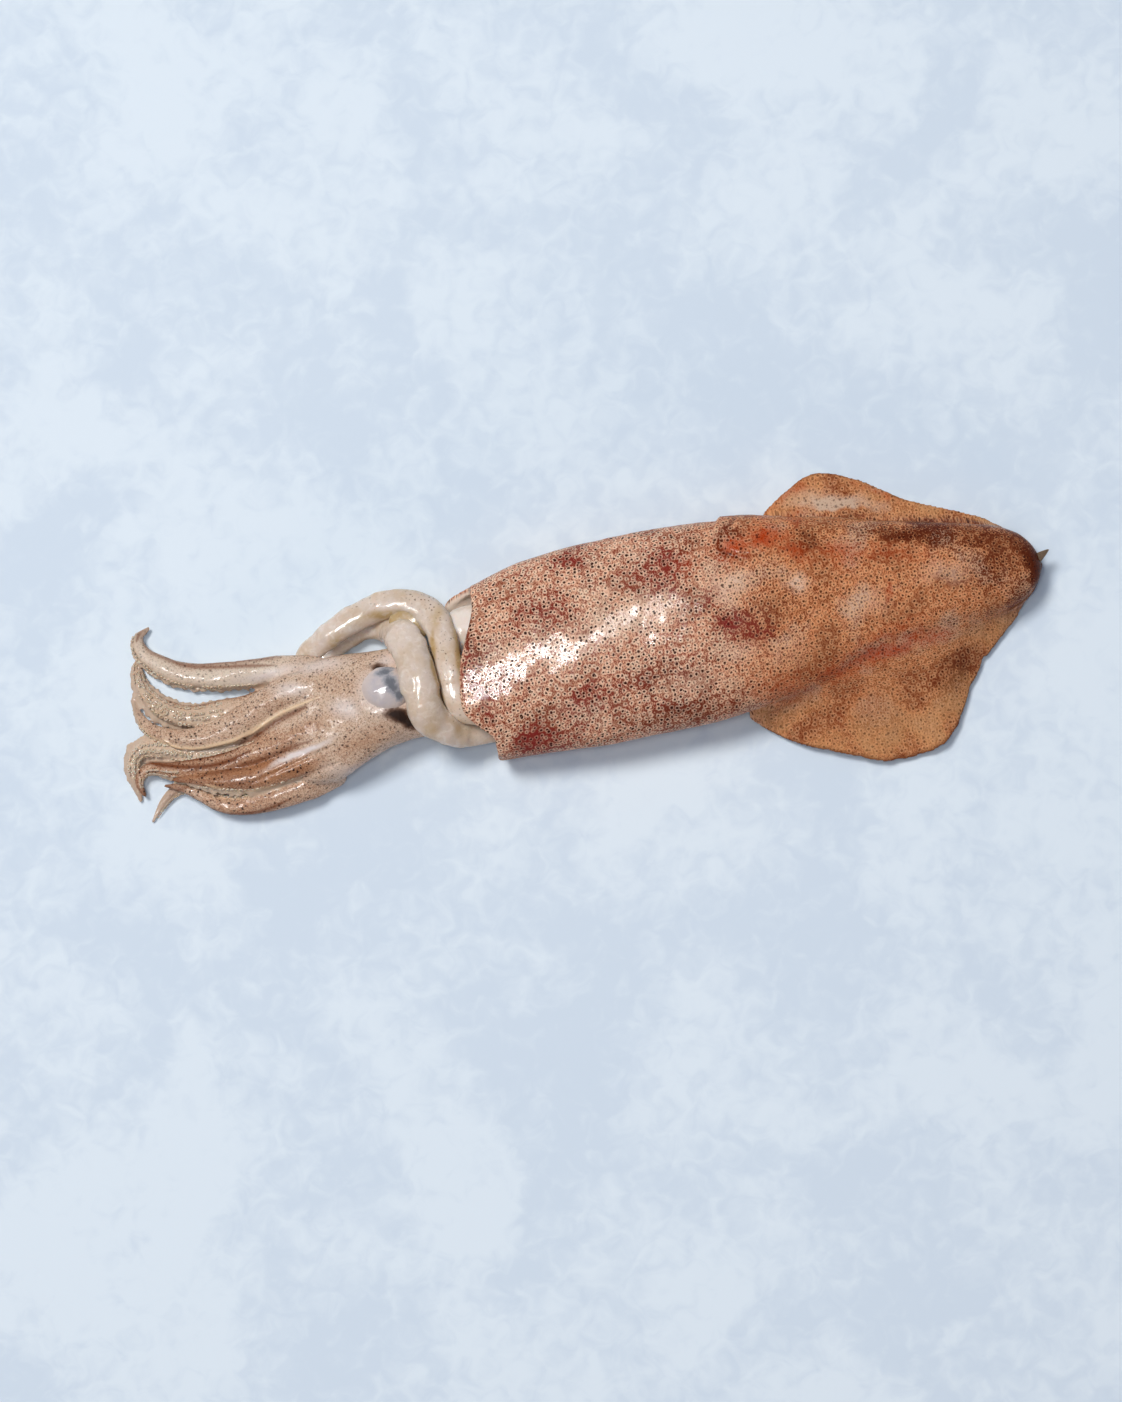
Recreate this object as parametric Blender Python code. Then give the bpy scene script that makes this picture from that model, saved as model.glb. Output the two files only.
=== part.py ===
"""A whole raw squid lying on a flat surface.

The flesh is one piece: mantle, fins, head, funnel, arms and tentacles are modelled as separate bodies and
joined into the node "squid". The eyes and the end of the pen are nodes of their own.

Lengths are in millimetres in the squid's own frame: X runs from the arm tips to the tail, Y runs across the
body and Z is up from the surface that it lies on. An empty carries every piece and moves the middle of the
footprint to the origin. The near side is the one towards -Y, where the fin is spread out.
"""

import math

import bmesh
import bpy
from mathutils import Vector

MM = 0.001
COLLECTION = "squid"
OPERANDS = "operands"
FOOTPRINT_MIDDLE = (-0.93, -1.26)

# Clearance between pieces, how far a joined body runs into the next, and the distance at which points are one.
GAP = 0.35
JOIN = 3.0
WELD = 0.01

# Mantle: x, middle in y, half width, underside height and top height along the body.
MANTLE = (
    (-32.6, 1.8, 27.8, 0.0, 25.2),
    (-16.0, 3.8, 30.4, 0.0, 27.0),
    (4.0, 4.7, 31.6, 0.0, 28.0),
    (28.0, 5.3, 31.6, 0.0, 28.5),
    (50.0, 6.0, 29.9, 0.0, 27.8),
    (74.0, 7.0, 26.2, 0.0, 25.5),
    (98.0, 7.0, 20.4, 0.0, 22.5),
    (120.0, 7.2, 16.2, 0.4, 19.5),
    (134.0, 6.2, 12.6, 1.6, 17.0),
    (142.0, 5.4, 7.4, 3.4, 14.2),
    (145.4, 5.0, 0.3, 7.6, 8.8),
)
MANTLE_SIDES = 36
MANTLE_RINGS = 27
OVAL_POWER = 2.35
WAIST_SHARE = 0.46
SAG = 1.15

# Mantle opening: wall, depth behind the collar, and how far the two lobes of the collar reach forward.
WALL = 2.6
OPENING_DEPTH = 12.0
RIM_ROUND = 0.9
LOBE_FADE = 30.0
BACK_LOBE = (8.5, 105.0, 67.0, 36.0)
FAR_LOBE = (9.0, 322.0, 34.0, 36.0)

# Fins: x and y of the outer edge, root height as a share of the mantle's, and edge height.
NEAR_FIN_EDGE = (
    (46.6, -27.0),
    (50.0, -30.2),
    (59.0, -36.6),
    (75.0, -43.4),
    (90.0, -48.2),
    (103.0, -46.6),
    (110.5, -40.8),
    (116.0, -31.2),
    (123.0, -21.4),
    (134.0, -12.0),
    (141.0, -5.6),
)
FAR_FIN_EDGE = (
    (62.0, 36.4),
    (68.0, 40.6),
    (80.0, 45.8),
    (92.0, 42.2),
    (106.0, 33.4),
    (122.0, 26.6),
    (134.0, 20.8),
    (140.0, 16.4),
)
FIN_ROOT_THICKNESS = 5.0
FIN_EDGE_THICKNESS = 1.3
FIN_RINGS = 24
FIN_STEPS = 7

# Head and neck: x, middle in y, half width, underside height and top height.
HEAD = (
    (-16.0, 0.1, 6.8, 4.8, 14.4),
    (-36.0, 0.0, 7.8, 3.6, 14.2),
    (-44.0, -0.2, 10.6, 1.2, 15.0),
    (-50.5, -0.3, 14.2, 0.0, 16.2),
    (-58.0, 0.2, 14.8, 0.0, 18.6),
    (-65.0, -0.5, 15.3, 0.0, 21.0),
    (-72.0, -1.8, 16.6, 0.0, 20.2),
    (-79.0, -3.2, 18.3, 0.0, 18.4),
    (-85.0, -4.6, 19.2, 0.0, 16.4),
    (-89.5, -4.6, 17.4, 0.3, 13.6),
    (-93.5, -4.4, 13.2, 1.4, 10.4),
)
HEAD_SIDES = 28
HEAD_RINGS = 15

# Eyes: middle and radii. The lower eye is pressed flat by the surface.
UPPER_EYE = ((-65.0, 2.2, 17.9), (6.8, 6.8, 5.6))
LOWER_EYE = ((-65.0, -2.4, 4.2), (6.6, 6.6, 4.8))
EYE_SEGMENTS = 16
LOWER_EYE_FLAT = 0.15

# Funnel, the squid's spout: x, middle in y, half width, underside height and top height.
FUNNEL = (
    (-18.0, 16.4, 7.4, 5.4, 16.6),
    (-34.0, 16.4, 7.4, 5.2, 16.6),
    (-39.0, 16.2, 6.9, 5.6, 15.8),
    (-42.4, 15.8, 5.6, 6.4, 14.2),
)
FUNNEL_SIDES = 16
FUNNEL_RINGS = 6
FUNNEL_MOUTH = (0.5, 5.0)

# Pen tip, the end of the horny pen that stands out of the tail.
PEN_ROOT = (145.3, 7.4, 9.0)
PEN_TIP = (147.8, 9.2, 9.6)
PEN_RADIUS = 1.5

# Arms, in the order that they are laid: height of the root, width at the root and at the tip, how far along
# the arm its width lasts, and the plan route from inside the head to the tip.
CROWN_X = -91.0
ARM_HEIGHT_SHARE = 0.8
ARMS = {
    "arm_8": (4.0, 7.0, 1.0, 1.3, ((-82.0, -11.6), (-97.0, -17.4), (-108.0, -20.8), (-120.0, -19.8),
                                   (-130.0, -17.0), (-136.5, -17.8), (-141.5, -22.0), (-145.0, -26.6))),
    "arm_2": (4.0, 7.6, 1.0, 2.4, ((-82.0, 3.6), (-98.0, 4.4), (-112.0, 3.8), (-126.0, 3.9), (-134.5, 7.6),
                                   (-139.8, 13.6), (-141.4, 20.0), (-140.3, 26.6))),
    "arm_4": (4.0, 7.4, 0.9, 2.2, ((-82.0, -3.9), (-98.0, -4.2), (-112.0, -7.4), (-126.0, -7.8), (-137.0, -4.6),
                                   (-144.4, -3.6), (-148.0, -8.6), (-147.3, -19.6))),
    "arm_7": (4.0, 6.8, 0.9, 2.2, ((-82.0, -19.2), (-97.0, -23.8), (-112.0, -25.8), (-121.0, -24.5),
                                   (-128.0, -20.2), (-133.0, -17.4), (-139.4, -15.6))),
    "arm_1": (5.0, 7.4, 0.8, 3.0, ((-82.0, 10.8), (-96.0, 13.4), (-112.0, 15.1), (-124.0, 16.9), (-132.0, 20.6),
                                   (-138.2, 26.2), (-139.2, 31.4), (-134.9, 34.4))),
    "arm_3": (11.2, 9.0, 0.9, 1.3, ((-82.0, 6.4), (-96.0, 6.2), (-109.0, 1.2), (-119.0, -2.2), (-130.0, -2.2),
                                    (-138.6, 1.4), (-143.0, 7.2), (-144.7, 13.4))),
    "arm_5": (11.2, 8.8, 0.9, 1.3, ((-82.0, -6.2), (-95.0, -7.6), (-107.0, -10.8), (-118.0, -12.6),
                                    (-134.0, -11.5), (-142.6, -9.6), (-146.6, -12.8), (-145.4, -18.2))),
    "arm_6": (10.6, 7.4, 0.9, 1.6, ((-82.0, -14.2), (-96.0, -16.0), (-110.0, -18.0), (-120.0, -17.0),
                                    (-136.0, -14.2))),
}
ARM_POINTS = 20
TIP_CROWDING = 0.45
LIMB_SIDES = 9

# Tentacles: (x, y, z, width) along the route.
TENTACLE_HEIGHT_SHARE = 0.8
TENTACLES = {
    "tentacle_inner": (
        (-84.4, 13.6, 3.6, 4.6),
        (-81.6, 16.4, 3.0, 5.0),
        (-78.2, 18.4, 2.8, 5.6),
        (-74.4, 20.4, 2.9, 6.4),
        (-69.6, 22.3, 3.0, 6.4),
        (-64.8, 22.6, 3.4, 6.6),
        (-61.0, 21.3, 6.8, 7.2),
        (-58.2, 18.0, 14.6, 8.0),
        (-56.2, 13.2, 19.6, 8.6),
        (-55.2, 7.6, 21.8, 8.6),
        (-54.9, 0.0, 22.4, 8.6),
        (-54.0, -6.4, 21.6, 8.6),
        (-51.4, -11.2, 19.2, 8.4),
        (-47.2, -14.4, 16.0, 8.0),
        (-42.0, -16.0, 11.8, 7.4),
        (-35.6, -16.4, 9.2, 6.8),
        (-27.0, -16.2, 8.6, 4.8),
    ),
    "tentacle_outer": (
        (-85.0, 12.0, 4.2, 4.0),
        (-88.2, 13.9, 3.0, 4.6),
        (-88.2, 16.9, 3.4, 5.2),
        (-84.6, 19.5, 5.0, 6.2),
        (-79.4, 22.4, 7.6, 7.0),
        (-74.0, 25.0, 8.2, 7.2),
        (-67.6, 27.0, 8.8, 7.2),
        (-61.0, 28.2, 10.8, 7.4),
        (-54.6, 27.6, 11.0, 7.6),
        (-49.8, 24.6, 12.0, 7.8),
        (-47.0, 19.6, 14.8, 8.0),
        (-45.9, 13.4, 17.6, 8.0),
        (-45.6, 6.6, 19.0, 8.0),
        (-45.4, 0.0, 19.4, 7.8),
        (-44.8, -4.8, 19.2, 7.6),
        (-42.4, -8.8, 18.0, 7.2),
        (-37.8, -10.4, 16.6, 6.6),
        (-32.6, -10.8, 15.6, 5.8),
        (-27.0, -10.8, 15.2, 4.2),
    ),
}
TENTACLE_POINTS = 36

# Finishes: colour, roughness.
SKIN = ((0.42, 0.20, 0.13), 0.35)
EYE_FILM = ((0.42, 0.43, 0.48), 0.12)
PEN_HORN = ((0.28, 0.22, 0.16), 0.45)


def make_material(name, finish):
    """A Principled material of one colour and roughness."""
    colour, roughness = finish
    material = bpy.data.materials.new(name)
    material.use_nodes = True
    shader = material.node_tree.nodes["Principled BSDF"]
    shader.inputs["Base Color"].default_value = (*colour, 1.0)
    shader.inputs["Roughness"].default_value = roughness
    shader.inputs["Metallic"].default_value = 0.0
    material.diffuse_color = (*colour, 1.0)
    return material


def smooth_row(rows, x):
    """The values of rows at x, on curves that pass through every row and never overshoot between two."""
    ordered = sorted(rows)
    xs = [row[0] for row in ordered]
    if x <= xs[0]:
        return ordered[0][1:]
    if x >= xs[-1]:
        return ordered[-1][1:]
    k = max(i for i in range(len(xs) - 1) if xs[i] <= x)
    values = []
    for column in range(1, len(ordered[0])):
        ys = [row[column] for row in ordered]
        secants = [(ys[i + 1] - ys[i]) / (xs[i + 1] - xs[i]) for i in range(len(xs) - 1)]

        def slope(i):
            if i == 0:
                return secants[0]
            if i == len(xs) - 1:
                return secants[-1]
            before, after = secants[i - 1], secants[i]
            return 0.0 if before * after <= 0 else 2 * before * after / (before + after)

        step = xs[k + 1] - xs[k]
        t = (x - xs[k]) / step
        values.append(
            ys[k] * (1 + 2 * t) * (1 - t) ** 2
            + slope(k) * step * t * (1 - t) ** 2
            + ys[k + 1] * t * t * (3 - 2 * t)
            + slope(k + 1) * step * t * t * (t - 1)
        )
    return tuple(values)


def signed_power(value, power):
    """value to a power, keeping its sign."""
    return math.copysign(abs(value) ** power, value)


def oval_point(section, angle, inset=0.0):
    """(y, z) on a sagging oval whose underside is flat where it rests. inset is the distance inside it."""
    middle, half_width, low, high = section
    waist = low + WAIST_SHARE * (high - low)
    y = middle + (half_width - inset) * signed_power(math.cos(angle), 2 / OVAL_POWER)
    rise = high - inset - waist if math.sin(angle) > 0 else SAG * (waist - low) - inset
    z = waist + rise * signed_power(math.sin(angle), 2 / OVAL_POWER)
    return y, max(z, low + inset)


def angles(sides):
    """Evenly spaced angles round a section, in radians."""
    return [2 * math.pi * i / sides for i in range(sides)]


def loft(name, rings, material):
    """A closed solid through rings of points in millimetres. The first and last rings are capped."""
    mesh = bmesh.new()
    loops = [[mesh.verts.new(Vector(point) * MM) for point in ring] for ring in rings]
    sides = len(loops[0])
    for near, far in zip(loops, loops[1:]):
        for i in range(sides):
            j = (i + 1) % sides
            mesh.faces.new((near[i], near[j], far[j], far[i]))
    mesh.faces.new(loops[0])
    mesh.faces.new(loops[-1])
    bmesh.ops.recalc_face_normals(mesh, faces=mesh.faces)
    bmesh.ops.triangulate(mesh, faces=mesh.faces)
    return add_object(name, mesh, material)


def add_object(name, mesh, material):
    """Turns a bmesh into a smooth shaded object that the squid's empty carries."""
    data = bpy.data.meshes.new(name)
    mesh.to_mesh(data)
    mesh.free()
    data.materials.append(material)
    data.shade_smooth()
    data.set_sharp_from_angle(angle=math.radians(40))
    obj = bpy.data.objects.new(name, data)
    bpy.data.collections[COLLECTION].objects.link(obj)
    obj.parent = bpy.data.objects["squid_frame"]
    return obj


def lobe(spec, angle):
    """How far one lobe of the collar reaches forward at this angle round the opening."""
    reach, middle, before, after = spec
    offset = (math.degrees(angle) - middle + 180) % 360 - 180
    share = abs(offset) / (before if offset < 0 else after)
    return reach * math.cos(math.pi / 2 * share) ** 2 if share < 1 else 0.0


def mantle_point(x, angle, inset=0.0):
    """A point of the mantle's outer skin, or of its inner face at inset, with the collar's lobes."""
    y, z = oval_point(smooth_row(MANTLE, x), angle, inset)
    fade = max(0.0, 1 - (x - MANTLE[0][0]) / LOBE_FADE) ** 2
    forward = lobe(BACK_LOBE, angle) + lobe(FAR_LOBE, angle)
    return x - forward * fade, y, z


def make_mantle(material):
    """The body tube, closed at the tail, with the shallow opening that the neck goes into."""
    front, tail = MANTLE[0][0], MANTLE[-1][0]
    turns = angles(MANTLE_SIDES)
    rings = []
    for i in range(MANTLE_RINGS):
        x = front + (tail - front) * math.sin(math.pi / 2 * (1 - i / (MANTLE_RINGS - 1)))
        rings.append([mantle_point(x, a) for a in turns])
    lip = [mantle_point(front, a, WALL / 2) for a in turns]
    rings.append([(x - RIM_ROUND, y, z) for x, y, z in lip])
    for depth in (0.0, OPENING_DEPTH / 2, OPENING_DEPTH):
        rings.append([mantle_point(front + depth, a, WALL) for a in turns])
    return loft("squid", rings, material)


def make_fin(name, edge, side, root_share, edge_height, material):
    """A fin: a thin muscle that runs out from the mantle's side and settles on the surface."""
    start, end = edge[0][0], edge[-1][0]
    rings = []
    for i in range(FIN_RINGS):
        x = start + (end - start) * (1 - math.cos(math.pi * i / (FIN_RINGS - 1))) / 2
        middle, half_width, low, high = smooth_row(MANTLE, x)
        root = middle + side * (half_width - JOIN)
        outer = smooth_row(edge, x)[0]
        outer = side * max(side * outer, side * root + 1.0)
        root_height = low + root_share * (high - low)
        top, bottom = [], []
        for step in range(FIN_STEPS):
            v = step / (FIN_STEPS - 1)
            thickness = FIN_EDGE_THICKNESS + (FIN_ROOT_THICKNESS - FIN_EDGE_THICKNESS) * (1 - v) ** 1.4
            middle_height = edge_height + (root_height - edge_height) * (1 - v) ** 1.7
            lift = max(middle_height, low + thickness / 2 + 0.1)
            y = root + (outer - root) * v
            top.append((x, y, lift + thickness / 2))
            bottom.append((x, y, lift - thickness / 2))
        rings.append(top + bottom[::-1])
    return loft(name, rings, material)


def make_sections(name, rows, ring_count, sides, material, mouth=None):
    """A solid through oval sections. mouth is (wall, depth) of a blind hole at its last section."""
    start, end = rows[0][0], rows[-1][0]
    rings = []
    for i in range(ring_count):
        x = start + (end - start) * i / (ring_count - 1)
        rings.append([(x, *oval_point(smooth_row(rows, x), a)) for a in angles(sides)])
    if mouth:
        wall_share, depth = mouth
        middle, half_width, low, high = rows[-1][1:]
        wall = wall_share * min(half_width, (high - low) / 2)
        for inward in (0.0, depth):
            x = end + inward if start > end else end - inward
            rings.append([(x, *oval_point(rows[-1][1:], a, wall)) for a in angles(sides)])
    return loft(name, rings, material)


def make_ball(name, eye, grow, material):
    """An eyeball, or with grow the socket's cutter that is larger all round."""
    middle, radii = eye
    mesh = bmesh.new()
    bmesh.ops.create_uvsphere(mesh, u_segments=EYE_SEGMENTS, v_segments=EYE_SEGMENTS // 2, radius=1.0)
    for vertex in mesh.verts:
        vertex.co = Vector(m + (r + grow) * c for m, r, c in zip(middle, radii, vertex.co)) * MM
    return add_object(name, mesh, material)


def flatten_below(obj, height):
    """Cuts obj off flat at a height in millimetres and closes the cut."""
    mesh = bmesh.new()
    mesh.from_mesh(obj.data)
    everything = [*mesh.verts, *mesh.edges, *mesh.faces]
    bmesh.ops.bisect_plane(
        mesh, geom=everything, plane_co=(0, 0, height * MM), plane_no=(0, 0, -1), clear_outer=True
    )
    bmesh.ops.holes_fill(mesh, edges=[e for e in mesh.edges if e.is_boundary])
    bmesh.ops.recalc_face_normals(mesh, faces=mesh.faces)
    mesh.to_mesh(obj.data)
    mesh.free()


def combine(body, operand, operation):
    """Joins the operand to body (UNION) or cuts it out (DIFFERENCE), and hides it."""
    operand.hide_render = True
    operand.display_type = "WIRE"
    bpy.data.collections[COLLECTION].objects.unlink(operand)
    bpy.data.collections[OPERANDS].objects.link(operand)
    modifier = body.modifiers.new(operand.name, "BOOLEAN")
    modifier.operation = operation
    modifier.solver = "EXACT"
    modifier.object = operand


def make_pen_tip(material):
    """The sharp end of the pen."""
    root, tip = Vector(PEN_ROOT), Vector(PEN_TIP)
    mesh = bmesh.new()
    bmesh.ops.create_cone(
        mesh, cap_ends=True, segments=8, radius1=PEN_RADIUS * MM, radius2=0.15 * MM, depth=(tip - root).length * MM
    )
    turn = (tip - root).to_track_quat("Z", "Y").to_matrix().to_4x4()
    bmesh.ops.transform(mesh, matrix=turn, verts=mesh.verts)
    bmesh.ops.translate(mesh, vec=(root + tip) / 2 * MM, verts=mesh.verts)
    return add_object("pen_tip", mesh, material)


def through(points, count, crowding=0.0):
    """count points on a smooth curve through the given ones, closer together at its end with crowding."""
    knots = [Vector(p) for p in points]
    knots = [2 * knots[0] - knots[1], *knots, 2 * knots[-1] - knots[-2]]
    fine = []
    for a, b, c, d in zip(knots, knots[1:], knots[2:], knots[3:]):
        for i in range(24):
            t = i / 24
            fine.append(
                0.5 * (2 * b + (c - a) * t + (2 * a - 5 * b + 4 * c - d) * t * t + (3 * b - a - 3 * c + d) * t ** 3)
            )
    fine.append(knots[-2])
    lengths = [0.0]
    for p, q in zip(fine, fine[1:]):
        lengths.append(lengths[-1] + (q - p).xyz.length)
    spaced, k = [], 0
    for i in range(count):
        share = i / (count - 1)
        wanted = lengths[-1] * share * (1 + crowding * (1 - share))
        while k < len(fine) - 2 and lengths[k + 1] < wanted:
            k += 1
        t = (wanted - lengths[k]) / max(lengths[k + 1] - lengths[k], 1e-9)
        spaced.append(fine[k].lerp(fine[k + 1], min(t, 1.0)))
    return spaced


def lay_arm(spec, laid):
    """(point, half width) along an arm that rests on the surface or on the limbs laid before it."""
    root_height, root_width, tip_width, fullness, plan = spec
    line = through([(x, y, 0.0) for x, y in plan], ARM_POINTS, TIP_CROWDING)
    halves = [
        (tip_width + (root_width - tip_width) * (1 - (i / (ARM_POINTS - 1)) ** fullness)) / 2
        for i in range(ARM_POINTS)
    ]
    heights = []
    for point, half in zip(line, halves):
        if point.x > CROWN_X:
            heights.append(root_height)
            continue
        height = ARM_HEIGHT_SHARE * half + 0.1
        for other, other_half in laid:
            reach = half + other_half + GAP
            across = (other.xy - point.xy).length
            if across < reach:
                rise = ARM_HEIGHT_SHARE * math.sqrt(reach ** 2 - across ** 2)
                height = max(height, other.z + rise)
        heights.append(height)
    for _ in range(12):
        heights = [
            max(h, (heights[max(i - 1, 0)] + heights[min(i + 1, ARM_POINTS - 1)]) / 2) if line[i].x <= CROWN_X else h
            for i, h in enumerate(heights)
        ]
    return [(Vector((p.x, p.y, h)), half) for p, h, half in zip(line, heights, halves)]


def densely(limb, parts=6):
    """The limb's points with more between them, so that nothing laid on it slips through."""
    points = []
    for (p, a), (q, b) in zip(limb, limb[1:]):
        points += [(p.lerp(q, i / parts), a + (b - a) * i / parts) for i in range(parts)]
    return [*points, limb[-1]]


def make_limb(name, limb, height_share, material):
    """An arm or tentacle: an oval section swept along the limb, upright all the way, as a closed mesh."""
    curve = bpy.data.curves.new(name, "CURVE")
    curve.dimensions = "3D"
    curve.twist_mode = "Z_UP"
    curve.bevel_mode = "OBJECT"
    curve.bevel_object = limb_section(height_share)
    curve.use_fill_caps = True
    spline = curve.splines.new("POLY")
    spline.points.add(len(limb) - 1)
    for point, (place, half) in zip(spline.points, limb):
        point.co = (*(place * MM), 1.0)
        point.radius = half
    swept = bpy.data.objects.new(name, curve)
    bpy.data.collections[COLLECTION].objects.link(swept)
    graph = bpy.context.evaluated_depsgraph_get()
    mesh = bmesh.new()
    mesh.from_mesh(bpy.data.meshes.new_from_object(swept.evaluated_get(graph)))
    bpy.data.objects.remove(swept)
    bmesh.ops.remove_doubles(mesh, verts=mesh.verts, dist=WELD * MM)
    bmesh.ops.recalc_face_normals(mesh, faces=mesh.faces)
    return add_object(name, mesh, material)


def limb_section(height_share):
    """The hidden outline that limbs of this height share are swept from, 1 mm in half width."""
    name = f"limb_section_{height_share:g}"
    if name in bpy.data.objects:
        return bpy.data.objects[name]
    curve = bpy.data.curves.new(name, "CURVE")
    curve.dimensions = "2D"
    spline = curve.splines.new("POLY")
    spline.points.add(LIMB_SIDES - 1)
    for point, angle in zip(spline.points, angles(LIMB_SIDES)):
        point.co = (math.cos(angle) * MM, height_share * math.sin(angle) * MM, 0.0, 1.0)
    spline.use_cyclic_u = True
    outline = bpy.data.objects.new(name, curve)
    outline.hide_render = True
    outline.display_type = "WIRE"
    bpy.data.collections[OPERANDS].objects.link(outline)
    return outline


def clear_scene():
    """Removes what the scene holds, and makes the collections and the empty that carries the squid."""
    for obj in list(bpy.data.objects):
        bpy.data.objects.remove(obj)
    for name in (COLLECTION, OPERANDS):
        bpy.context.scene.collection.children.link(bpy.data.collections.new(name))
    bpy.data.collections[OPERANDS].hide_render = True
    frame = bpy.data.objects.new("squid_frame", None)
    frame.location = (-FOOTPRINT_MIDDLE[0] * MM, -FOOTPRINT_MIDDLE[1] * MM, 0.0)
    bpy.data.collections[COLLECTION].objects.link(frame)


def make_limbs(material):
    """The tentacles, then the arms laid over them and over each other."""
    limbs = []
    laid = []
    for name, route in TENTACLES.items():
        line = through([(x, y, z, width / 2) for x, y, z, width in route], TENTACLE_POINTS)
        limb = [(point.xyz, point.w) for point in line]
        limbs.append(make_limb(name, limb, TENTACLE_HEIGHT_SHARE, material))
        laid += densely(limb)
    for name, spec in ARMS.items():
        limb = lay_arm(spec, laid)
        limbs.append(make_limb(name, limb, ARM_HEIGHT_SHARE, material))
        laid += densely(limb)
    return limbs


def main():
    """Builds every piece of the squid."""
    clear_scene()
    flesh = make_material("squid_flesh", SKIN)
    eye_film = make_material("eye_film", EYE_FILM)
    horn = make_material("pen_horn", PEN_HORN)

    squid = make_mantle(flesh)
    bodies = [
        make_fin("fin_near", NEAR_FIN_EDGE, -1, 0.40, 2.0, flesh),
        make_fin("fin_far", FAR_FIN_EDGE, 1, 0.32, 1.6, flesh),
        make_sections("head", HEAD, HEAD_RINGS, HEAD_SIDES, flesh),
        make_sections("funnel", FUNNEL, FUNNEL_RINGS, FUNNEL_SIDES, flesh, FUNNEL_MOUTH),
        *make_limbs(flesh),
    ]
    for body in bodies:
        combine(squid, body, "UNION")
    for name, eye in (("eye_upper", UPPER_EYE), ("eye_lower", LOWER_EYE)):
        combine(squid, make_ball(f"{name}_socket", eye, GAP, flesh), "DIFFERENCE")
        make_ball(name, eye, 0.0, eye_film)
    flatten_below(bpy.data.objects["eye_lower"], LOWER_EYE_FLAT)
    make_pen_tip(horn)


main()
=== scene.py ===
"""The looks of a whole raw squid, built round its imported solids.

Sizes are in millimetres in the squid's own frame: X runs from the arm tips to the tail, Y runs across the
body towards the far side and Z is up from the surface that it lies on. Flesh pieces start as smooth
analytic surfaces, are fused into one skin and carry named values at their points, which their materials
read.
"""

import itertools
import logging
import math
from dataclasses import dataclass, field
from enum import Enum
from typing import Callable, Iterable, Sequence

import bmesh
import bpy
import numpy as np
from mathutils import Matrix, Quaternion, Vector
from mathutils.bvhtree import BVHTree
from mathutils.kdtree import KDTree


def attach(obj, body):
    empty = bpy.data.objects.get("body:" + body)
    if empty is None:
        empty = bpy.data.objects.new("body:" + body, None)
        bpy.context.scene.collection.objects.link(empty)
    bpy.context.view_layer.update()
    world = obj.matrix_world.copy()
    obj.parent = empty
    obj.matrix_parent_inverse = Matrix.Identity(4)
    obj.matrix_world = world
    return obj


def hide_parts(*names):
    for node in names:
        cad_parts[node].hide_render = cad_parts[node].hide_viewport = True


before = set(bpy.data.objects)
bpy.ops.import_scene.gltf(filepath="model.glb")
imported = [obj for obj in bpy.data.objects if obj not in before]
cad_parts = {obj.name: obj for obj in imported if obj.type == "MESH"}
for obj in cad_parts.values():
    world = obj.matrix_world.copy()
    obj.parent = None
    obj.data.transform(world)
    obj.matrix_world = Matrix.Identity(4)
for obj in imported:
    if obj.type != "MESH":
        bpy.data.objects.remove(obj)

MM = 0.001
SQUID_ORIGIN = (0.93, 1.26, 0.0)
LOG = logging.getLogger("squid")
SWELL_BACK = -1.04
BAND_FADE = (0.04, 0.06)
SPOT_EDGE = 0.14
FLECK_EDGE = 0.055

Array = np.ndarray
Row = tuple[float, ...]
Span = tuple[float, float]
Socket = bpy.types.NodeSocket


# ---------------------------------------------------------------- shapes


class Slot(Enum):
    """The record's material slots."""

    SKIN = "skin"
    FLESH = "pale_flesh"
    EYE = "eye"
    PEN = "pen"


def smoothstep(low: float, high: float, value: Array) -> Array:
    """An eased step from 0 at low to 1 at high; it falls instead where low is above high."""
    share = np.clip((value - low) / (high - low), 0.0, 1.0)
    return share * share * (3 - 2 * share)


def signed_power(value: Array, power: float) -> Array:
    """value to a power, keeping its sign."""
    return np.sign(value) * np.abs(value) ** power


def swell(points: Array, size: float, seed: int) -> Array:
    """Smooth seeded noise over points.

    Args:
        points: places in millimetres, one a row.
        size: how large its swellings are.
        seed: chooses another pattern.

    Returns:
        One value from -1 to 1 for each point.
    """
    cells = points / size + seed * 7.31
    base = np.floor(cells).astype(np.int64)
    near = cells - base
    near = near * near * (3 - 2 * near)
    total = np.zeros(len(points))
    for corner in itertools.product((0, 1), repeat=3):
        key = (base + np.array(corner)) @ np.array((73856093, 19349663, 83492791)) + seed * 668265263
        key = (key ^ (key >> 13)) * 1274126177 & 0x7FFFFFFF
        value = ((key ^ (key >> 15)) & 0xFFFF) / 32768.0 - 1.0
        total += value * np.prod(np.where(np.array(corner) == 1, near, 1 - near), axis=1)
    return total


def around(sides: int) -> Array:
    """The angles of evenly spaced points round a ring, in radians."""
    return np.linspace(0, 2 * math.pi, sides, endpoint=False)


@dataclass(frozen=True)
class Wrinkle:
    """Seeded unevenness of a skin: height, size of its swellings, and how far it is drawn out each way."""

    height: float
    size: float
    seed: int
    stretch: Row = (1.0, 1.0, 1.0)

    def over(self, points: Array) -> Array:
        """Its height at each point."""
        return self.height * swell(points * np.array(self.stretch), self.size, self.seed)


def wrinkled(points: Array, wrinkles: Iterable[Wrinkle]) -> Array:
    """The height of all the wrinkles together at each point."""
    return sum(wrinkle.over(points) for wrinkle in wrinkles)


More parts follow.
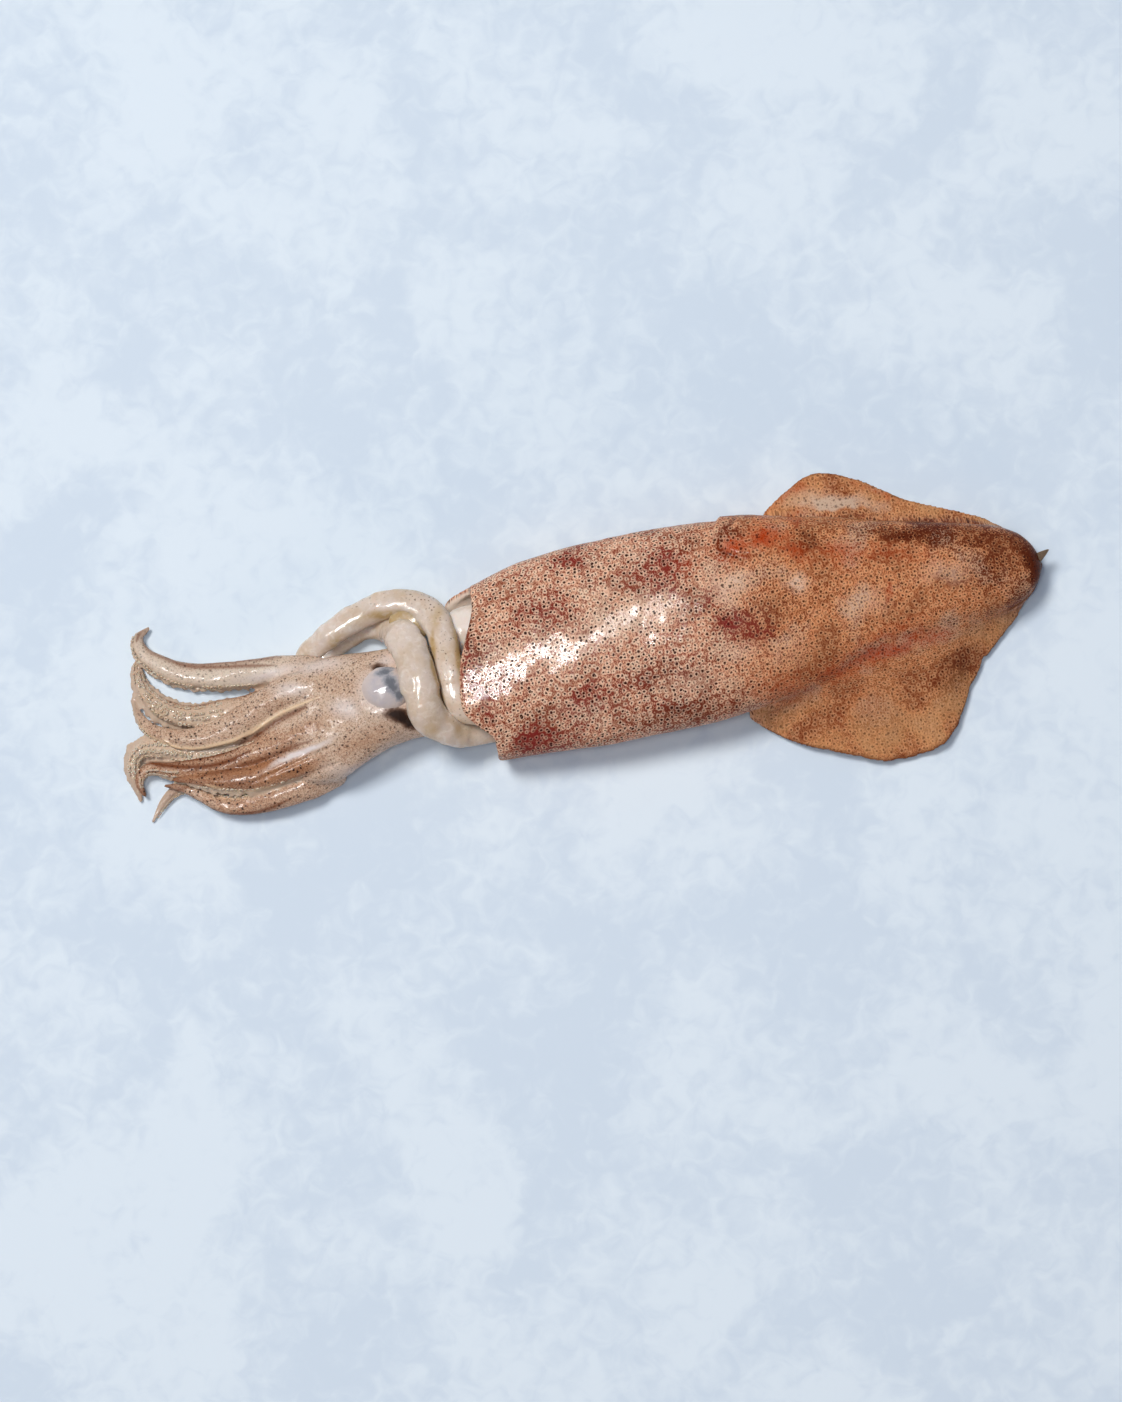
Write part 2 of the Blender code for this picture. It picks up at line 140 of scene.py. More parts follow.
class Stations:
    """Values along the body, on curves that pass through every row and never overshoot between two."""

    def __init__(self, rows: Sequence[Row]) -> None:
        """Works out the slopes at the rows.

        Args:
            rows: the place along the body, and the values there.
        """
        table = np.array(sorted(rows), float)
        self.places, self.values = table[:, 0], table[:, 1:]
        secants = np.diff(self.values, axis=0) / np.diff(self.places)[:, None]
        before, after = secants[:-1], secants[1:]
        total = np.where(before + after == 0, 1.0, before + after)
        inner = np.where(before * after <= 0, 0.0, 2 * before * after / total)
        self.slopes = np.vstack((secants[:1], inner, secants[-1:]))

    @property
    def start(self) -> float:
        """The first place."""
        return float(self.places[0])

    @property
    def end(self) -> float:
        """The last place."""
        return float(self.places[-1])

    def at(self, places: Array) -> Array:
        """The values at places; beyond the ends they stay as they are at the end.

        Args:
            places: where along the body.

        Returns:
            One row of values for each place.
        """
        places = np.clip(np.asarray(places, float), self.start, self.end)
        k = np.clip(np.searchsorted(self.places, places, side="right") - 1, 0, len(self.places) - 2)
        step = (self.places[k + 1] - self.places[k])[:, None]
        t = (places - self.places[k])[:, None] / step
        return (
            self.values[k] * (1 + 2 * t) * (1 - t) ** 2
            + self.slopes[k] * step * t * (1 - t) ** 2
            + self.values[k + 1] * t * t * (3 - 2 * t)
            + self.slopes[k + 1] * step * t * t * (t - 1)
        )


@dataclass(frozen=True)
class Oval:
    """The body's sagging section: how square it is, how high its widest level and how flat its underside."""

    power: float = 2.35
    waist_share: float = 0.46
    sag: float = 1.15

    def ring(self, section: Array, turns: Array, inset: float = 0.0) -> Array:
        """The points of sections.

        Args:
            section: middle in y, half width, underside and top height, one row for each turn.
            turns: angles from the far side over the top, in radians.
            inset: distance inside the skin.

        Returns:
            (y, z) rows.
        """
        middle, half_width, low, high = section.T
        waist = low + self.waist_share * (high - low)
        sine, cosine = np.sin(turns), np.cos(turns)
        y = middle + (half_width - inset) * signed_power(cosine, 2 / self.power)
        rise = np.where(sine > 0, high - inset - waist, self.sag * (waist - low) - inset)
        z = waist + rise * signed_power(sine, 2 / self.power)
        return np.stack((y, np.maximum(z, low + inset)), axis=1)

    def turn(self, section: Array, y: Array, z: Array) -> Array:
        """The angle round the section of points on or near it.

        Args:
            section: middle in y, half width, underside and top height, one row for each point.
            y: how far across each point is.
            z: how high it is.

        Returns:
            Angles from the far side over the top, in radians.
        """
        middle, half_width, low, high = section.T
        waist = low + self.waist_share * (high - low)
        rise = np.where(z > waist, high - waist, self.sag * (waist - low))
        across = signed_power((y - middle) / np.maximum(half_width, 0.1), self.power / 2)
        up = signed_power((z - waist) / np.maximum(rise, 0.1), self.power / 2)
        return np.arctan2(up, across)


OVAL = Oval()


def section_ring(body: Stations, x: float, turns: Array, inset: float = 0.0) -> Array:
    """The points round a body at x.

    Args:
        body: rows of middle in y, half width, underside and top height along it.
        x: where the section is.
        turns: angles from the far side over the top, in radians.
        inset: distance inside the skin.

    Returns:
        (x, y, z) rows.
    """
    section = np.repeat(body.at(np.array([x])), len(turns), axis=0)
    return np.column_stack((np.full(len(turns), x), OVAL.ring(section, turns, inset)))


def pillow(middle: Row, radii: Row, rings: int, sides: int, tip: float) -> Array:
    """An ellipsoid.

    Args:
        middle: its middle.
        radii: its radii along x, y and z.
        rings: how many rings it has.
        sides: points in a ring.
        tip: how far the first ring is from the top, as a share of the way to the bottom.

    Returns:
        Rings from the top down, points in a ring, and x, y, z.
    """
    turns = around(sides)
    grid = []
    for angle in np.linspace(tip, 1 - tip, rings) * math.pi:
        flat = math.sin(angle)
        level = np.full(sides, math.cos(angle))
        unit = np.column_stack((flat * np.cos(turns), flat * np.sin(turns), level))
        grid.append(unit * np.array(radii) + np.array(middle))
    return np.array(grid)


@dataclass
class Surface:
    """Points in millimetres, faces of four corners, and named values at the points."""

    points: Array
    faces: Array
    values: dict[str, Array] = field(default_factory=dict)

    def moved(self, points: Array) -> "Surface":
        """The same faces and values on other points."""
        return Surface(points, self.faces, self.values)

    def normals(self) -> Array:
        """The way out of the surface at its points.

        Returns:
            One unit vector for each point.
        """
        corners = self.points[self.faces]
        across = np.cross(corners[:, 2] - corners[:, 0], corners[:, 3] - corners[:, 1])
        total = np.zeros_like(self.points)
        for k in range(4):
            for axis in range(3):
                total[:, axis] += np.bincount(self.faces[:, k], across[:, axis], len(self.points))
        return total / np.maximum(np.linalg.norm(total, axis=1), 1e-12)[:, None]

    def raised(self, rise: Array, floor: float) -> "Surface":
        """Moves each point out of the surface.

        Args:
            rise: how far each point moves.
            floor: the height that none goes below.

        Returns:
            The moved surface.
        """
        points = self.points + self.normals() * rise[:, None]
        points[:, 2] = np.maximum(points[:, 2], floor)
        return self.moved(points)

    def edges(self) -> Array:
        """The edges of the faces, each once.

        Returns:
            Two point numbers for each edge.
        """
        pairs = np.vstack([self.faces[:, (k, (k + 1) % 4)] for k in range(4)])
        pairs.sort(axis=1)
        pairs = np.unique(pairs, axis=0)
        return pairs[pairs[:, 0] != pairs[:, 1]]

    def blurred(
        self, data: Array, rounds: int, factor: float | Array = 0.5, keep_size: bool = False
    ) -> Array:
        """Evens values out along the edges.

        Args:
            data: one row or value for each point.
            rounds: how many times.
            factor: how far each value goes towards its neighbours' mean, for all or for each point.
            keep_size: lets a shape swell back after each round, so that it does not shrink.

        Returns:
            The evened data.
        """
        edges = self.edges()
        count = np.bincount(edges.ravel(), minlength=len(self.points)).clip(1)
        rows = data.reshape(len(self.points), -1).astype(float)
        share = np.broadcast_to(np.asarray(factor, float).reshape(-1, 1), (len(rows), 1))
        for sign in ((1.0, SWELL_BACK) if keep_size else (1.0,)) * rounds:
            mean = np.empty_like(rows)
            for k in range(rows.shape[1]):
                column = rows[:, k]
                mean[:, k] = np.bincount(edges[:, 0], column[edges[:, 1]], len(rows))
                mean[:, k] += np.bincount(edges[:, 1], column[edges[:, 0]], len(rows))
            rows = rows + sign * share * (mean / count[:, None] - rows)
        return rows.reshape(data.shape)


def grid_surface(grid: Array, values: dict[str, Array | float] | None = None) -> Surface:
    """A closed surface through rings of points.

    Args:
        grid: rings, points in a ring, and x, y, z.
        values: named values, one for each point of the grid, for each ring or for all.

    Returns:
        The surface, its two ends closed by fans about their middles.
    """
    rings, sides = grid.shape[:2]
    points = np.vstack((grid.reshape(-1, 3), grid[0].mean(0), grid[-1].mean(0)))
    ring, side = np.meshgrid(np.arange(rings - 1), np.arange(sides), indexing="ij")
    after = (side + 1) % sides
    here, beyond = ring * sides, (ring + 1) * sides
    walls = np.stack((here + side, here + after, beyond + after, beyond + side), -1).reshape(-1, 4)
    turn = np.arange(0, sides, 2)
    first, last = np.full(len(turn), rings * sides), np.full(len(turn), rings * sides + 1)
    tail = (rings - 1) * sides
    start_fan = np.stack(((turn + 2) % sides, (turn + 1) % sides, turn, first), -1)
    end_fan = np.stack((tail + turn, tail + (turn + 1) % sides, tail + (turn + 2) % sides, last), -1)
    held = {}
    for name, value in (values or {}).items():
        value = np.broadcast_to(value, (rings, sides))
        held[name] = np.concatenate((value.reshape(-1), [value[0].mean(), value[-1].mean()]))
    return Surface(points, np.vstack((walls, start_fan, end_fan)), held)


def joined(parts: Sequence[Surface]) -> Surface:
    """Puts surfaces together.

    Args:
        parts: the surfaces.

    Returns:
        One surface, with the values that all the parts have.
    """
    starts = np.cumsum([0, *(len(part.points) for part in parts)])
    names = set.intersection(*(set(part.values) for part in parts))
    return Surface(
        np.vstack([part.points for part in parts]),
        np.vstack([part.faces + start for part, start in zip(parts, starts)]),
        {name: np.concatenate([part.values[name] for part in parts]) for name in sorted(names)},
    )


def fused(parts: Sequence[Surface], grain: float) -> Surface:
    """One skin round all the parts.

    Args:
        parts: closed surfaces that run into each other.
        grain: size of the new faces.

    Returns:
        The skin, with the value of the nearest point of the parts at each of its points.
    """
    source = joined(parts)
    holder = new_object("fusing", source)
    skin = holder.modifiers.new("skin", "REMESH")
    skin.mode = "VOXEL"
    skin.voxel_size = grain * MM
    mesh = bpy.data.meshes.new_from_object(holder.evaluated_get(bpy.context.evaluated_depsgraph_get()))
    points = np.empty(len(mesh.vertices) * 3)
    mesh.vertices.foreach_get("co", points)
    corners = np.empty(len(mesh.loops), np.int32)
    mesh.loops.foreach_get("vertex_index", corners)
    remove_object(holder)
    bpy.data.meshes.remove(mesh)
    places = points.reshape(-1, 3) / MM - np.array(SQUID_ORIGIN)
    result = Surface(places, corners.reshape(-1, 4).astype(np.int64))
    tree = KDTree(len(source.points))
    for number, point in enumerate(source.points):
        tree.insert(point, number)
    tree.balance()
    nearest = np.array([tree.find(point)[1] for point in result.points])
    result.values = {name: value[nearest] for name, value in source.values.items()}
    return result


def settled(surface: Surface, target: Surface, share: Array) -> Surface:
    """Draws points back onto the nearest place of another surface.

    Args:
        surface: the surface to move.
        target: where its points go.
        share: how far each point goes, from 0 to 1.

    Returns:
        The moved surface.
    """
    tree = BVHTree.FromPolygons(target.points.tolist(), target.faces.tolist())
    points = surface.points.copy()
    for number in np.flatnonzero(share > 0.01):
        place, _, _, _ = tree.find_nearest(Vector(points[number]))
        points[number] += share[number] * (np.array(place) - points[number])
    return surface.moved(points)


def new_object(name: str, surface: Surface) -> bpy.types.Object:
    """Makes a smooth shaded mesh object of a surface, with its values as attributes.

    Args:
        name: the object's name.
        surface: the shape; a value with three columns becomes a vector and one with four a colour.

    Returns:
        The object, linked to the scene.
    """
    mesh = bpy.data.meshes.new(name)
    places = (surface.points + np.array(SQUID_ORIGIN)) * MM
    faces = [tuple(dict.fromkeys(face)) for face in surface.faces.tolist()]
    mesh.from_pydata(places.tolist(), [], faces)
    mesh.shade_smooth()
    kinds = {1: ("FLOAT", "value"), 3: ("FLOAT_VECTOR", "vector"), 4: ("FLOAT_COLOR", "color")}
    for label, value in surface.values.items():
        columns = 1 if value.ndim == 1 else value.shape[1]
        kind, channel = kinds[columns]
        mesh.attributes.new(label, kind, "POINT").data.foreach_set(channel, value.astype(np.float32).ravel())
    obj = bpy.data.objects.new(name, mesh)
    bpy.context.scene.collection.objects.link(obj)
    return obj


def remove_object(obj: bpy.types.Object) -> None:
    """Removes an object and its mesh.

    Args:
        obj: the object.
    """
    mesh = obj.data
    bpy.data.objects.remove(obj)
    bpy.data.meshes.remove(mesh)


def dress(
    obj: bpy.types.Object, material: bpy.types.Material, replaces: Iterable[str] = ()
) -> bpy.types.Object:
    """Gives a piece its material and its place in the record.

    Args:
        obj: the piece.
        material: its material.
        replaces: the record's nodes that it stands for.

    Returns:
        The piece.
    """
    obj.data.materials.append(material)
    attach(obj, "root")
    if replaces:
        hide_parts(*replaces)
    low, high = np.array(obj.bound_box).min(0) / MM, np.array(obj.bound_box).max(0) / MM
    LOG.info("%s: %d faces, %s mm", obj.name, len(obj.data.polygons), (high - low).round(1))
    return obj


@dataclass(frozen=True)
class Stain:
    """A soft patch of colour on the skin: middle, half length and half width, turn in degrees, strength."""

    x: float
    y: float
    length: float
    width: float
    turn: float = 0.0
    strength: float = 1.0

    def far(self, points: Array) -> Array:
        """How far points are from the stain's middle in plan.

        Args:
            points: places in millimetres, one a row.

        Returns:
            1 on the stain's outline, less inside it and more outside.
        """
        angle = math.radians(self.turn)
        dx, dy = points[:, 0] - self.x, points[:, 1] - self.y
        along = (dx * math.cos(angle) + dy * math.sin(angle)) / self.length
        across = (dy * math.cos(angle) - dx * math.sin(angle)) / self.width
        return np.hypot(along, across)

    def over(self, points: Array) -> Array:
        """The stain's strength at each point."""
        return self.strength * smoothstep(1.0, 0.0, self.far(points))


@dataclass(frozen=True)
class Blots:
    """Stains of one colour, given as rows of a stain's values, with edges that wander by about ragged."""

    ragged: float
    seed: int
    rows: tuple[Row, ...]
    coarse: float = 6.0
    fine: float = 2.2

    def over(self, points: Array) -> Array:
        """How strong the colour is at points.

        Args:
            points: places in millimetres, one a row.

        Returns:
            The strength of the strongest stain at each point, or 0.
        """
        wander = np.stack([swell(points, self.coarse, self.seed + k) for k in range(3)], axis=1)
        wander += 0.5 * np.stack([swell(points, self.fine, self.seed + 5 + k) for k in range(3)], axis=1)
        places = points + self.ragged * wander
        return np.max([np.zeros(len(points)), *(Stain(*row).over(places) for row in self.rows)], axis=0)


@dataclass(frozen=True)
class Seam:
    """A line along the skin, given in plan: its knots, half width and strength."""

    knots: tuple[Row, ...]
    width: float
    strength: float = 1.0

    def over(self, points: Array) -> Array:
        """How strong the seam is at points; it thins out at both ends.

        Args:
            points: places in millimetres, one a row.

        Returns:
            Its strength at each point.
        """
        line = through(np.array([(x, y, 0.0) for x, y in self.knots]), 40)[:, :2]
        starts, ends = line[:-1], line[1:]
        total = np.zeros(len(points))
        low, high = line.min(0) - 3 * self.width, line.max(0) + 3 * self.width
        near = np.all((points[:, :2] > low) & (points[:, :2] < high), axis=1)
        spot = points[near, None, :2]
        steps = ends - starts
        share = ((spot - starts) * steps).sum(2) / (steps**2).sum(1)
        gap = np.linalg.norm(spot - starts - share.clip(0, 1)[..., None] * steps, axis=2)
        nearest = gap.argmin(1)
        along = (nearest + 0.5) / len(starts)
        width = self.width * (0.35 + 0.65 * smoothstep(0.0, 0.2, along) * smoothstep(1.0, 0.8, along))
        total[near] = self.strength * np.exp(-((gap.min(1) / width) ** 2))
        return total


def seamed(points: Array, seams: Sequence[Seam]) -> Array:
    """The strongest of the seams at each point."""
    return np.max([seam.over(points) for seam in seams], axis=0)


# ---------------------------------------------------------------- body


@dataclass
class Fin:
    """One fin: the side that it is on, its outer edge in plan, its root's height share and its edge height.

    Its middle falls from the root to the edge by the power fall. Nicks in its edge are rows of place, reach
    and depth. It starts inside the body, by the buried distance.
    """

    side: int
    edge: tuple[Row, ...]
    root_share: float
    edge_height: float
    ripples: float
    fall: float = 1.9
    nicks: tuple[Row, ...] = ()
    root_thickness: float = 5.0
    edge_thickness: float = 1.3
    buried: float = 7.0
    rings: int = 190
    steps: int = 64

    def surface(self, body: Stations) -> Surface:
        """The fin as a closed surface that runs into the body.

        Args:
            body: the mantle's stations.

        Returns:
            The surface, with the value "fin", 0 at the root and 1 at the edge.
        """
        edge = Stations(self.edge)
        share = (1 - np.cos(np.linspace(0, math.pi, self.rings))) / 2
        x = edge.start + (edge.end - edge.start) * share
        middle, half_width, low, high = body.at(x).T
        root = middle + self.side * (half_width - self.buried)
        outer = edge.at(x)[:, 0] * self.side
        for place, reach, depth in self.nicks:
            outer -= depth * np.maximum(0.0, 1 - np.abs(x - place) / reach) ** 1.5
        outer = self.side * np.maximum(outer, self.side * root + 1.0)
        v = np.linspace(0, 1, self.steps)[None, :]
        fall = (1 - v) ** 1.4
        thick = self.edge_thickness + (self.root_thickness - self.edge_thickness) * fall
        thick = thick * np.sqrt(np.clip((1.02 - v) / 0.05, 0.12, 1.0))
        sunk = 1 - np.clip(1 - self.buried / np.maximum(half_width, 0.1), 0.0, 1.0) ** OVAL.power
        roof = low + (high - low) * (OVAL.waist_share + (1 - OVAL.waist_share) * sunk ** (1 / OVAL.power))
        root_height = np.minimum(low + self.root_share * (high - low), roof - self.root_thickness / 2 - 1.2)
        root_height = np.maximum(root_height, low + 0.42 * (high - low))[:, None]
        height = self.edge_height + (root_height - self.edge_height) * (1 - v) ** self.fall
        wave = np.sin(x / 5.3 + 1.2 * np.sin(x / 8.1))[:, None] * self.ripples * smoothstep(0.45, 1.0, v)
        lift = np.maximum(height + wave, low[:, None] + thick / 2 + 0.1)
        y = root[:, None] + (outer - root)[:, None] * v
        flat = np.broadcast_to(x[:, None], y.shape)
        top = np.stack((flat, y, lift + thick / 2), -1)
        bottom = np.stack((flat, y, lift - thick / 2), -1)
        grid = np.concatenate((top, bottom[:, ::-1]), axis=1)
        return grid_surface(grid, {"fin": np.hstack((v, v[:, ::-1]))})


@dataclass
class Mantle:
    """The body tube with its collar, and the fins at its sides, fused into one skin.

    A span is where an eased step starts and ends: along the body, up from the surface, out from the body's
    side or, for the flap, out from its middle.
    """

    stations: tuple[Row, ...] = (
        (-32.6, 1.8, 27.8, 0.0, 25.2),
        (-16.0, 3.8, 30.4, 0.0, 27.0),
        (4.0, 4.7, 31.6, 0.0, 28.0),
        (28.0, 5.3, 31.6, 0.0, 28.5),
        (50.0, 6.0, 29.9, 0.0, 27.8),
        (74.0, 7.0, 26.2, 0.0, 25.5),
        (98.0, 7.0, 20.4, 0.0, 22.5),
        (120.0, 7.2, 16.2, 0.4, 19.5),
        (134.0, 6.2, 13.0, 1.6, 17.0),
        (142.0, 5.6, 9.0, 3.2, 14.4),
        (146.8, 5.2, 0.3, 7.6, 8.8),
    )
    near_fin: Fin = field(default_factory=lambda: Fin(
        side=-1,
        edge=((46.6, -27.0), (50.0, -30.2), (59.0, -36.6), (75.0, -43.4), (90.0, -48.2), (103.0, -46.6),
              (110.5, -40.8), (116.0, -31.2), (123.0, -21.4), (134.0, -12.0), (141.0, -5.6)),
        root_share=0.9,
        edge_height=3.0,
        ripples=0.9,
        fall=1.35,
        nicks=((90.0, 2.2, 0.9), (117.0, 1.8, 1.3), (122.4, 1.6, 1.7), (104.0, 1.8, 0.6), (69.0, 2.0, 0.5),
               (97.0, 1.4, 0.5), (112.0, 1.2, 0.6), (79.0, 1.5, 0.4)),
        buried=12.0,
    ))
    far_fin: Fin = field(default_factory=lambda: Fin(
        side=1,
        edge=((62.0, 36.4), (68.0, 40.6), (80.0, 45.8), (92.0, 42.2), (106.0, 33.4), (122.0, 26.6),
              (134.0, 20.8), (140.0, 16.4)),
        root_share=0.42,
        edge_height=1.6,
        ripples=0.3,
    ))
    flap: Stain = Stain(58.0, 30.5, 14.0, 8.5, -6.0)
    flap_rise: float = 1.3
    # Along the flap's edge the relief has a groove, and the dark mask has a painted shade line under the
    # ledge.
    flap_edge: Seam = Seam(((52.0, 35.2), (47.6, 32.4), (45.4, 28.6), (46.4, 25.4), (50.0, 23.4)), 1.1, 0.9)
    far_root: Seam = Seam(
        ((60.0, 36.0), (68.0, 34.6), (80.0, 32.0), (98.0, 27.6), (116.0, 24.0), (130.0, 20.6)), 0.7, 1.1
    )
    seam_depth: float = 0.4
    valleys: tuple[Stain, ...] = (Stain(84.0, -14.5, 22.0, 4.0, 20.0), Stain(108.0, -9.5, 16.0, 3.6, 8.0))
    valley_depth: float = 0.5
    body_wrinkles: tuple[Wrinkle, ...] = (Wrinkle(0.30, 17.0, 3), Wrinkle(0.10, 4.2, 4, (1.0, 0.55, 1.0)))
    skin_wrinkles: tuple[Wrinkle, ...] = (Wrinkle(0.045, 1.9, 5, (1.0, 0.7, 1.0)),)
    fin_wrinkles: tuple[Wrinkle, ...] = (Wrinkle(0.10, 3.0, 6, (1.0, 0.35, 1.0)),)
    reds: Blots = Blots(2.6, 21, (
        (-22, -21, 10, 6, 15), (-8, -21, 10, 4, 10, 0.7), (28, 26, 9, 6, -20, 0.8), (27, 18, 7, 6, 0, 0.6),
        (0, 32, 8, 4, 0, 0.8), (-2, -9, 9, 4.5, 25, 0.8), (14, -9, 7, 4, 0, 0.6), (-30, 0, 8, 16, 0, 0.35),
        (46, 3, 10, 6, -15, 1.0), (56, 0, 8, 3.5, -10, 0.8), (-10, 14, 12, 5, 20, 0.45),
        (40, 12, 8, 5, 40, 0.5), (-34, -8, 5, 8, 0, 0.7), (2, -16, 14, 5, 0, 0.5), (22, -18, 14, 5, 0, 0.5),
        (50, 1, 16, 9, -15, 0.7), (24, 22, 16, 9, -20, 0.6), (-2, -12, 18, 7, 15, 0.6),
        (-18, -22, 18, 7, 10, 0.7), (-14, 18, 16, 7, 20, 0.5), (-37, 4, 4, 20, 0, 0.6),
    ))
    rusts: Blots = Blots(2.0, 41, (
        (59, 27, 9, 5.5, -15, 1.7), (68, 22, 10, 5, -30, 1.0), (47, 26.5, 8, 6, 0, 1.3),
        (90, -13, 26, 4.5, 12, 1.3), (106, -11.6, 12, 4, 0, 0.9), (83, 19, 12, 6, -10, 0.9),
        (72, 41, 12, 3, 30, 1.0), (98, 36, 14, 3, -32, 0.9), (60, -20, 18, 8, 0, 0.6),
        (76, -17, 12, 4, 20, 1.0), (95, 5, 2, 6, 0, 0.8), (34, 24, 8, 6, 0, 0.6), (84, -30, 16, 10, 10, 0.4),
        (60, 28, 13, 7, -10, 1.2), (49, 27.5, 9, 7, 0, 1.3), (78, -18, 24, 4, 14, 0.7),
        (67, 41, 9, 3, 40, 1.3), (92, -8, 20, 3, 16, 0.6), (72, 34, 10, 4, 30, 0.6),
        (96, 17, 24, 5, -14, 0.5),
    ))
    # Dark patches of the skin, and also painted shade: the darker lower near side of the front mantle and the
    # dark rim where the tail end falls away steeply.
    darks_and_shade: Blots = Blots(3.0, 61, (
        (108, 21.5, 32, 6.5, -13, 1.2), (128, 17, 16, 6, -20, 1.1), (145, 3, 8, 14, 15, 1.4),
        (139, -6, 8, 5, 40, 0.8), (74, 25, 10, 3.5, -5, 0.8), (52, 30.5, 6, 2.6, 0, 0.8),
        (114, -22, 14, 7, 35, 0.4), (132, 4, 12, 10, 0, 0.45), (36, 30, 8, 4, 0, 0.6),
        (26, -21, 30, 7, 3, 0.75), (-36, 10, 3, 24, 0, 0.7), (22, -9, 24, 7, 4, 0.5),
        (-18, -13, 18, 5, 0, 0.3), (62, 6, 16, 10, 0, 0.25), (112, -24, 14, 9, 40, 0.8),
        (144, 4, 6, 22, 12, 1.8), (136, -4, 14, 4, 50, 0.7), (138, 14, 12, 5, -35, 0.9),
        (130, 8, 16, 14, 0, 0.8), (84, -33, 10, 6, 0, 0.2),
    ))
    # Pale patches of the skin, and also painted sheen: a whitish haze along the wet highlight on the front of
    # the mantle and pale sparkle on the far fin's root.
    pales: Blots = Blots(2.2, 81, (
        (45, 15, 10, 7, 0, 1.1), (67, 12.6, 6, 5, 0, 1.4), (46, -6, 8, 5, 0, 0.7),
        (84, 36.8, 26, 3.2, -14, 2.2), (76, 39.4, 12, 4, 6, 1.4), (86, 2, 12, 7, 10, 0.5),
        (10, 9, 34, 8, 10, 0.9), (-26, 4, 16, 8, 10, 0.7), (20, 14, 16, 6, 10, 0.8), (8, 20, 10, 4, 20, 0.5),
        (115, 8, 14, 6, 0, 0.7), (-6, -14, 16, 6, 0, 0.35), (30, -12, 16, 6, 0, 0.4), (60, -8, 12, 8, 0, 0.3),
    ))
    bareness: float = 0.9
    rear: Span = (24.0, 66.0)
    tail: Span = (136.0, 143.0)
    belly_end: float = 50.0
    belly_height: Span = (5.5, 1.5)
    sole_height: Span = (1.2, 0.4)
    sole: float = 0.02
    red_height: Span = (2.0, 6.0)
    matt_height: Span = (7.0, 3.0)
    lying_height: Span = (0.15, 1.2)
    flap_border: Span = (1.02, 0.93)
    flap_height: Span = (11.0, 14.0)
    flap_fade: Span = (76.0, 52.0)
    fin_front: Span = (44.0, 52.0)
    fin_side: Span = (0.86, 1.08)
    joint_front: Span = (52.0, 64.0)
    joint_inner: Span = (-15.0, -8.0)
    joint_outer: Span = (12.0, 4.0)
    joint_height: Span = (1.5, 4.0)
    wall: float = 2.6
    opening_depth: float = 12.0
    rim_round: float = 0.9
    lobe_fade: float = 30.0
    lobes: tuple[Row, ...] = ((8.5, 105.0, 67.0, 36.0), (9.0, 322.0, 34.0, 36.0))
    rings: int = 150
    sides: int = 150
    grain: float = 0.7
    fillet_rounds: int = 150

    def __post_init__(self) -> None:
        """Prepares the sections and the lengths along and round the skin."""
        self.body = Stations(self.stations)
        self.places = np.linspace(self.body.start, self.body.end, 160)
        self.turns = np.linspace(-math.pi, math.pi, 241)
        section = self.body.at(self.places)
        wide, high = section[:, 1], section[:, 3] - section[:, 2]
        steps = np.sqrt(np.diff(self.places) ** 2 + 0.5 * np.diff(wide) ** 2 + 0.3 * np.diff(high) ** 2)
        self.lengths = np.concatenate(([0.0], np.cumsum(steps)))
        arcs = []
        for row in section:
            ring = OVAL.ring(np.tile(row, (len(self.turns), 1)), self.turns)
            arc = np.concatenate(([0.0], np.cumsum(np.linalg.norm(np.diff(ring, axis=0), axis=1))))
            arcs.append(arc - np.interp(math.pi / 2, self.turns, arc))
        self.arcs = np.array(arcs)

    def collar_reach(self, turns: Array) -> Array:
        """How far the collar's lobes reach forward.

        Args:
            turns: angles round the opening, in radians.

        Returns:
            The reach at each angle.
        """
        total = np.zeros_like(turns)
        for reach, middle, before, after in self.lobes:
            offset = (np.degrees(turns) - middle + 180) % 360 - 180
            share = np.abs(offset) / np.where(offset < 0, before, after)
            total += np.where(share < 1, reach * np.cos(math.pi / 2 * np.minimum(share, 1)) ** 2, 0.0)
        return total

    def ring(self, x: float, turns: Array, inset: float = 0.0) -> Array:
        """A ring of the outer skin, or of the inner face at an inset.

        Args:
            x: where the ring is.
            turns: angles from the far side over the top, in radians.
            inset: distance inside the skin.

        Returns:
            (x, y, z) rows.
        """
        ring = section_ring(self.body, x, turns, inset)
        ring[:, 0] -= self.collar_reach(turns) * max(0.0, 1 - (x - self.body.start) / self.lobe_fade) ** 2
        return ring

    def tube(self) -> Surface:
        """The tube of the body with its opening.

        Returns:
            The surface, with the values "inside", 1 on the inner face, and "fin", 0.
        """
        turns = around(self.sides)
        front, tail = self.body.start, self.body.end
        share = np.sin(math.pi / 2 * np.linspace(1, 0, self.rings))
        rings = [self.ring(front + (tail - front) * s, turns) for s in share]
        inside = [0.0] * len(rings)
        for angle in np.linspace(0.2, 0.8, 5) * math.pi:
            lip = self.ring(front, turns, self.wall / 2 * (1 - math.cos(angle)))
            lip[:, 0] -= self.rim_round * math.sin(angle)
            rings.append(lip)
            inside.append(float(angle > math.pi / 2))
        for depth in np.linspace(0, self.opening_depth, 14):
            rings.append(self.ring(front + depth, turns, self.wall))
            inside.append(1.0)
        return grid_surface(np.array(rings), {"inside": np.array(inside)[:, None], "fin": 0.0})

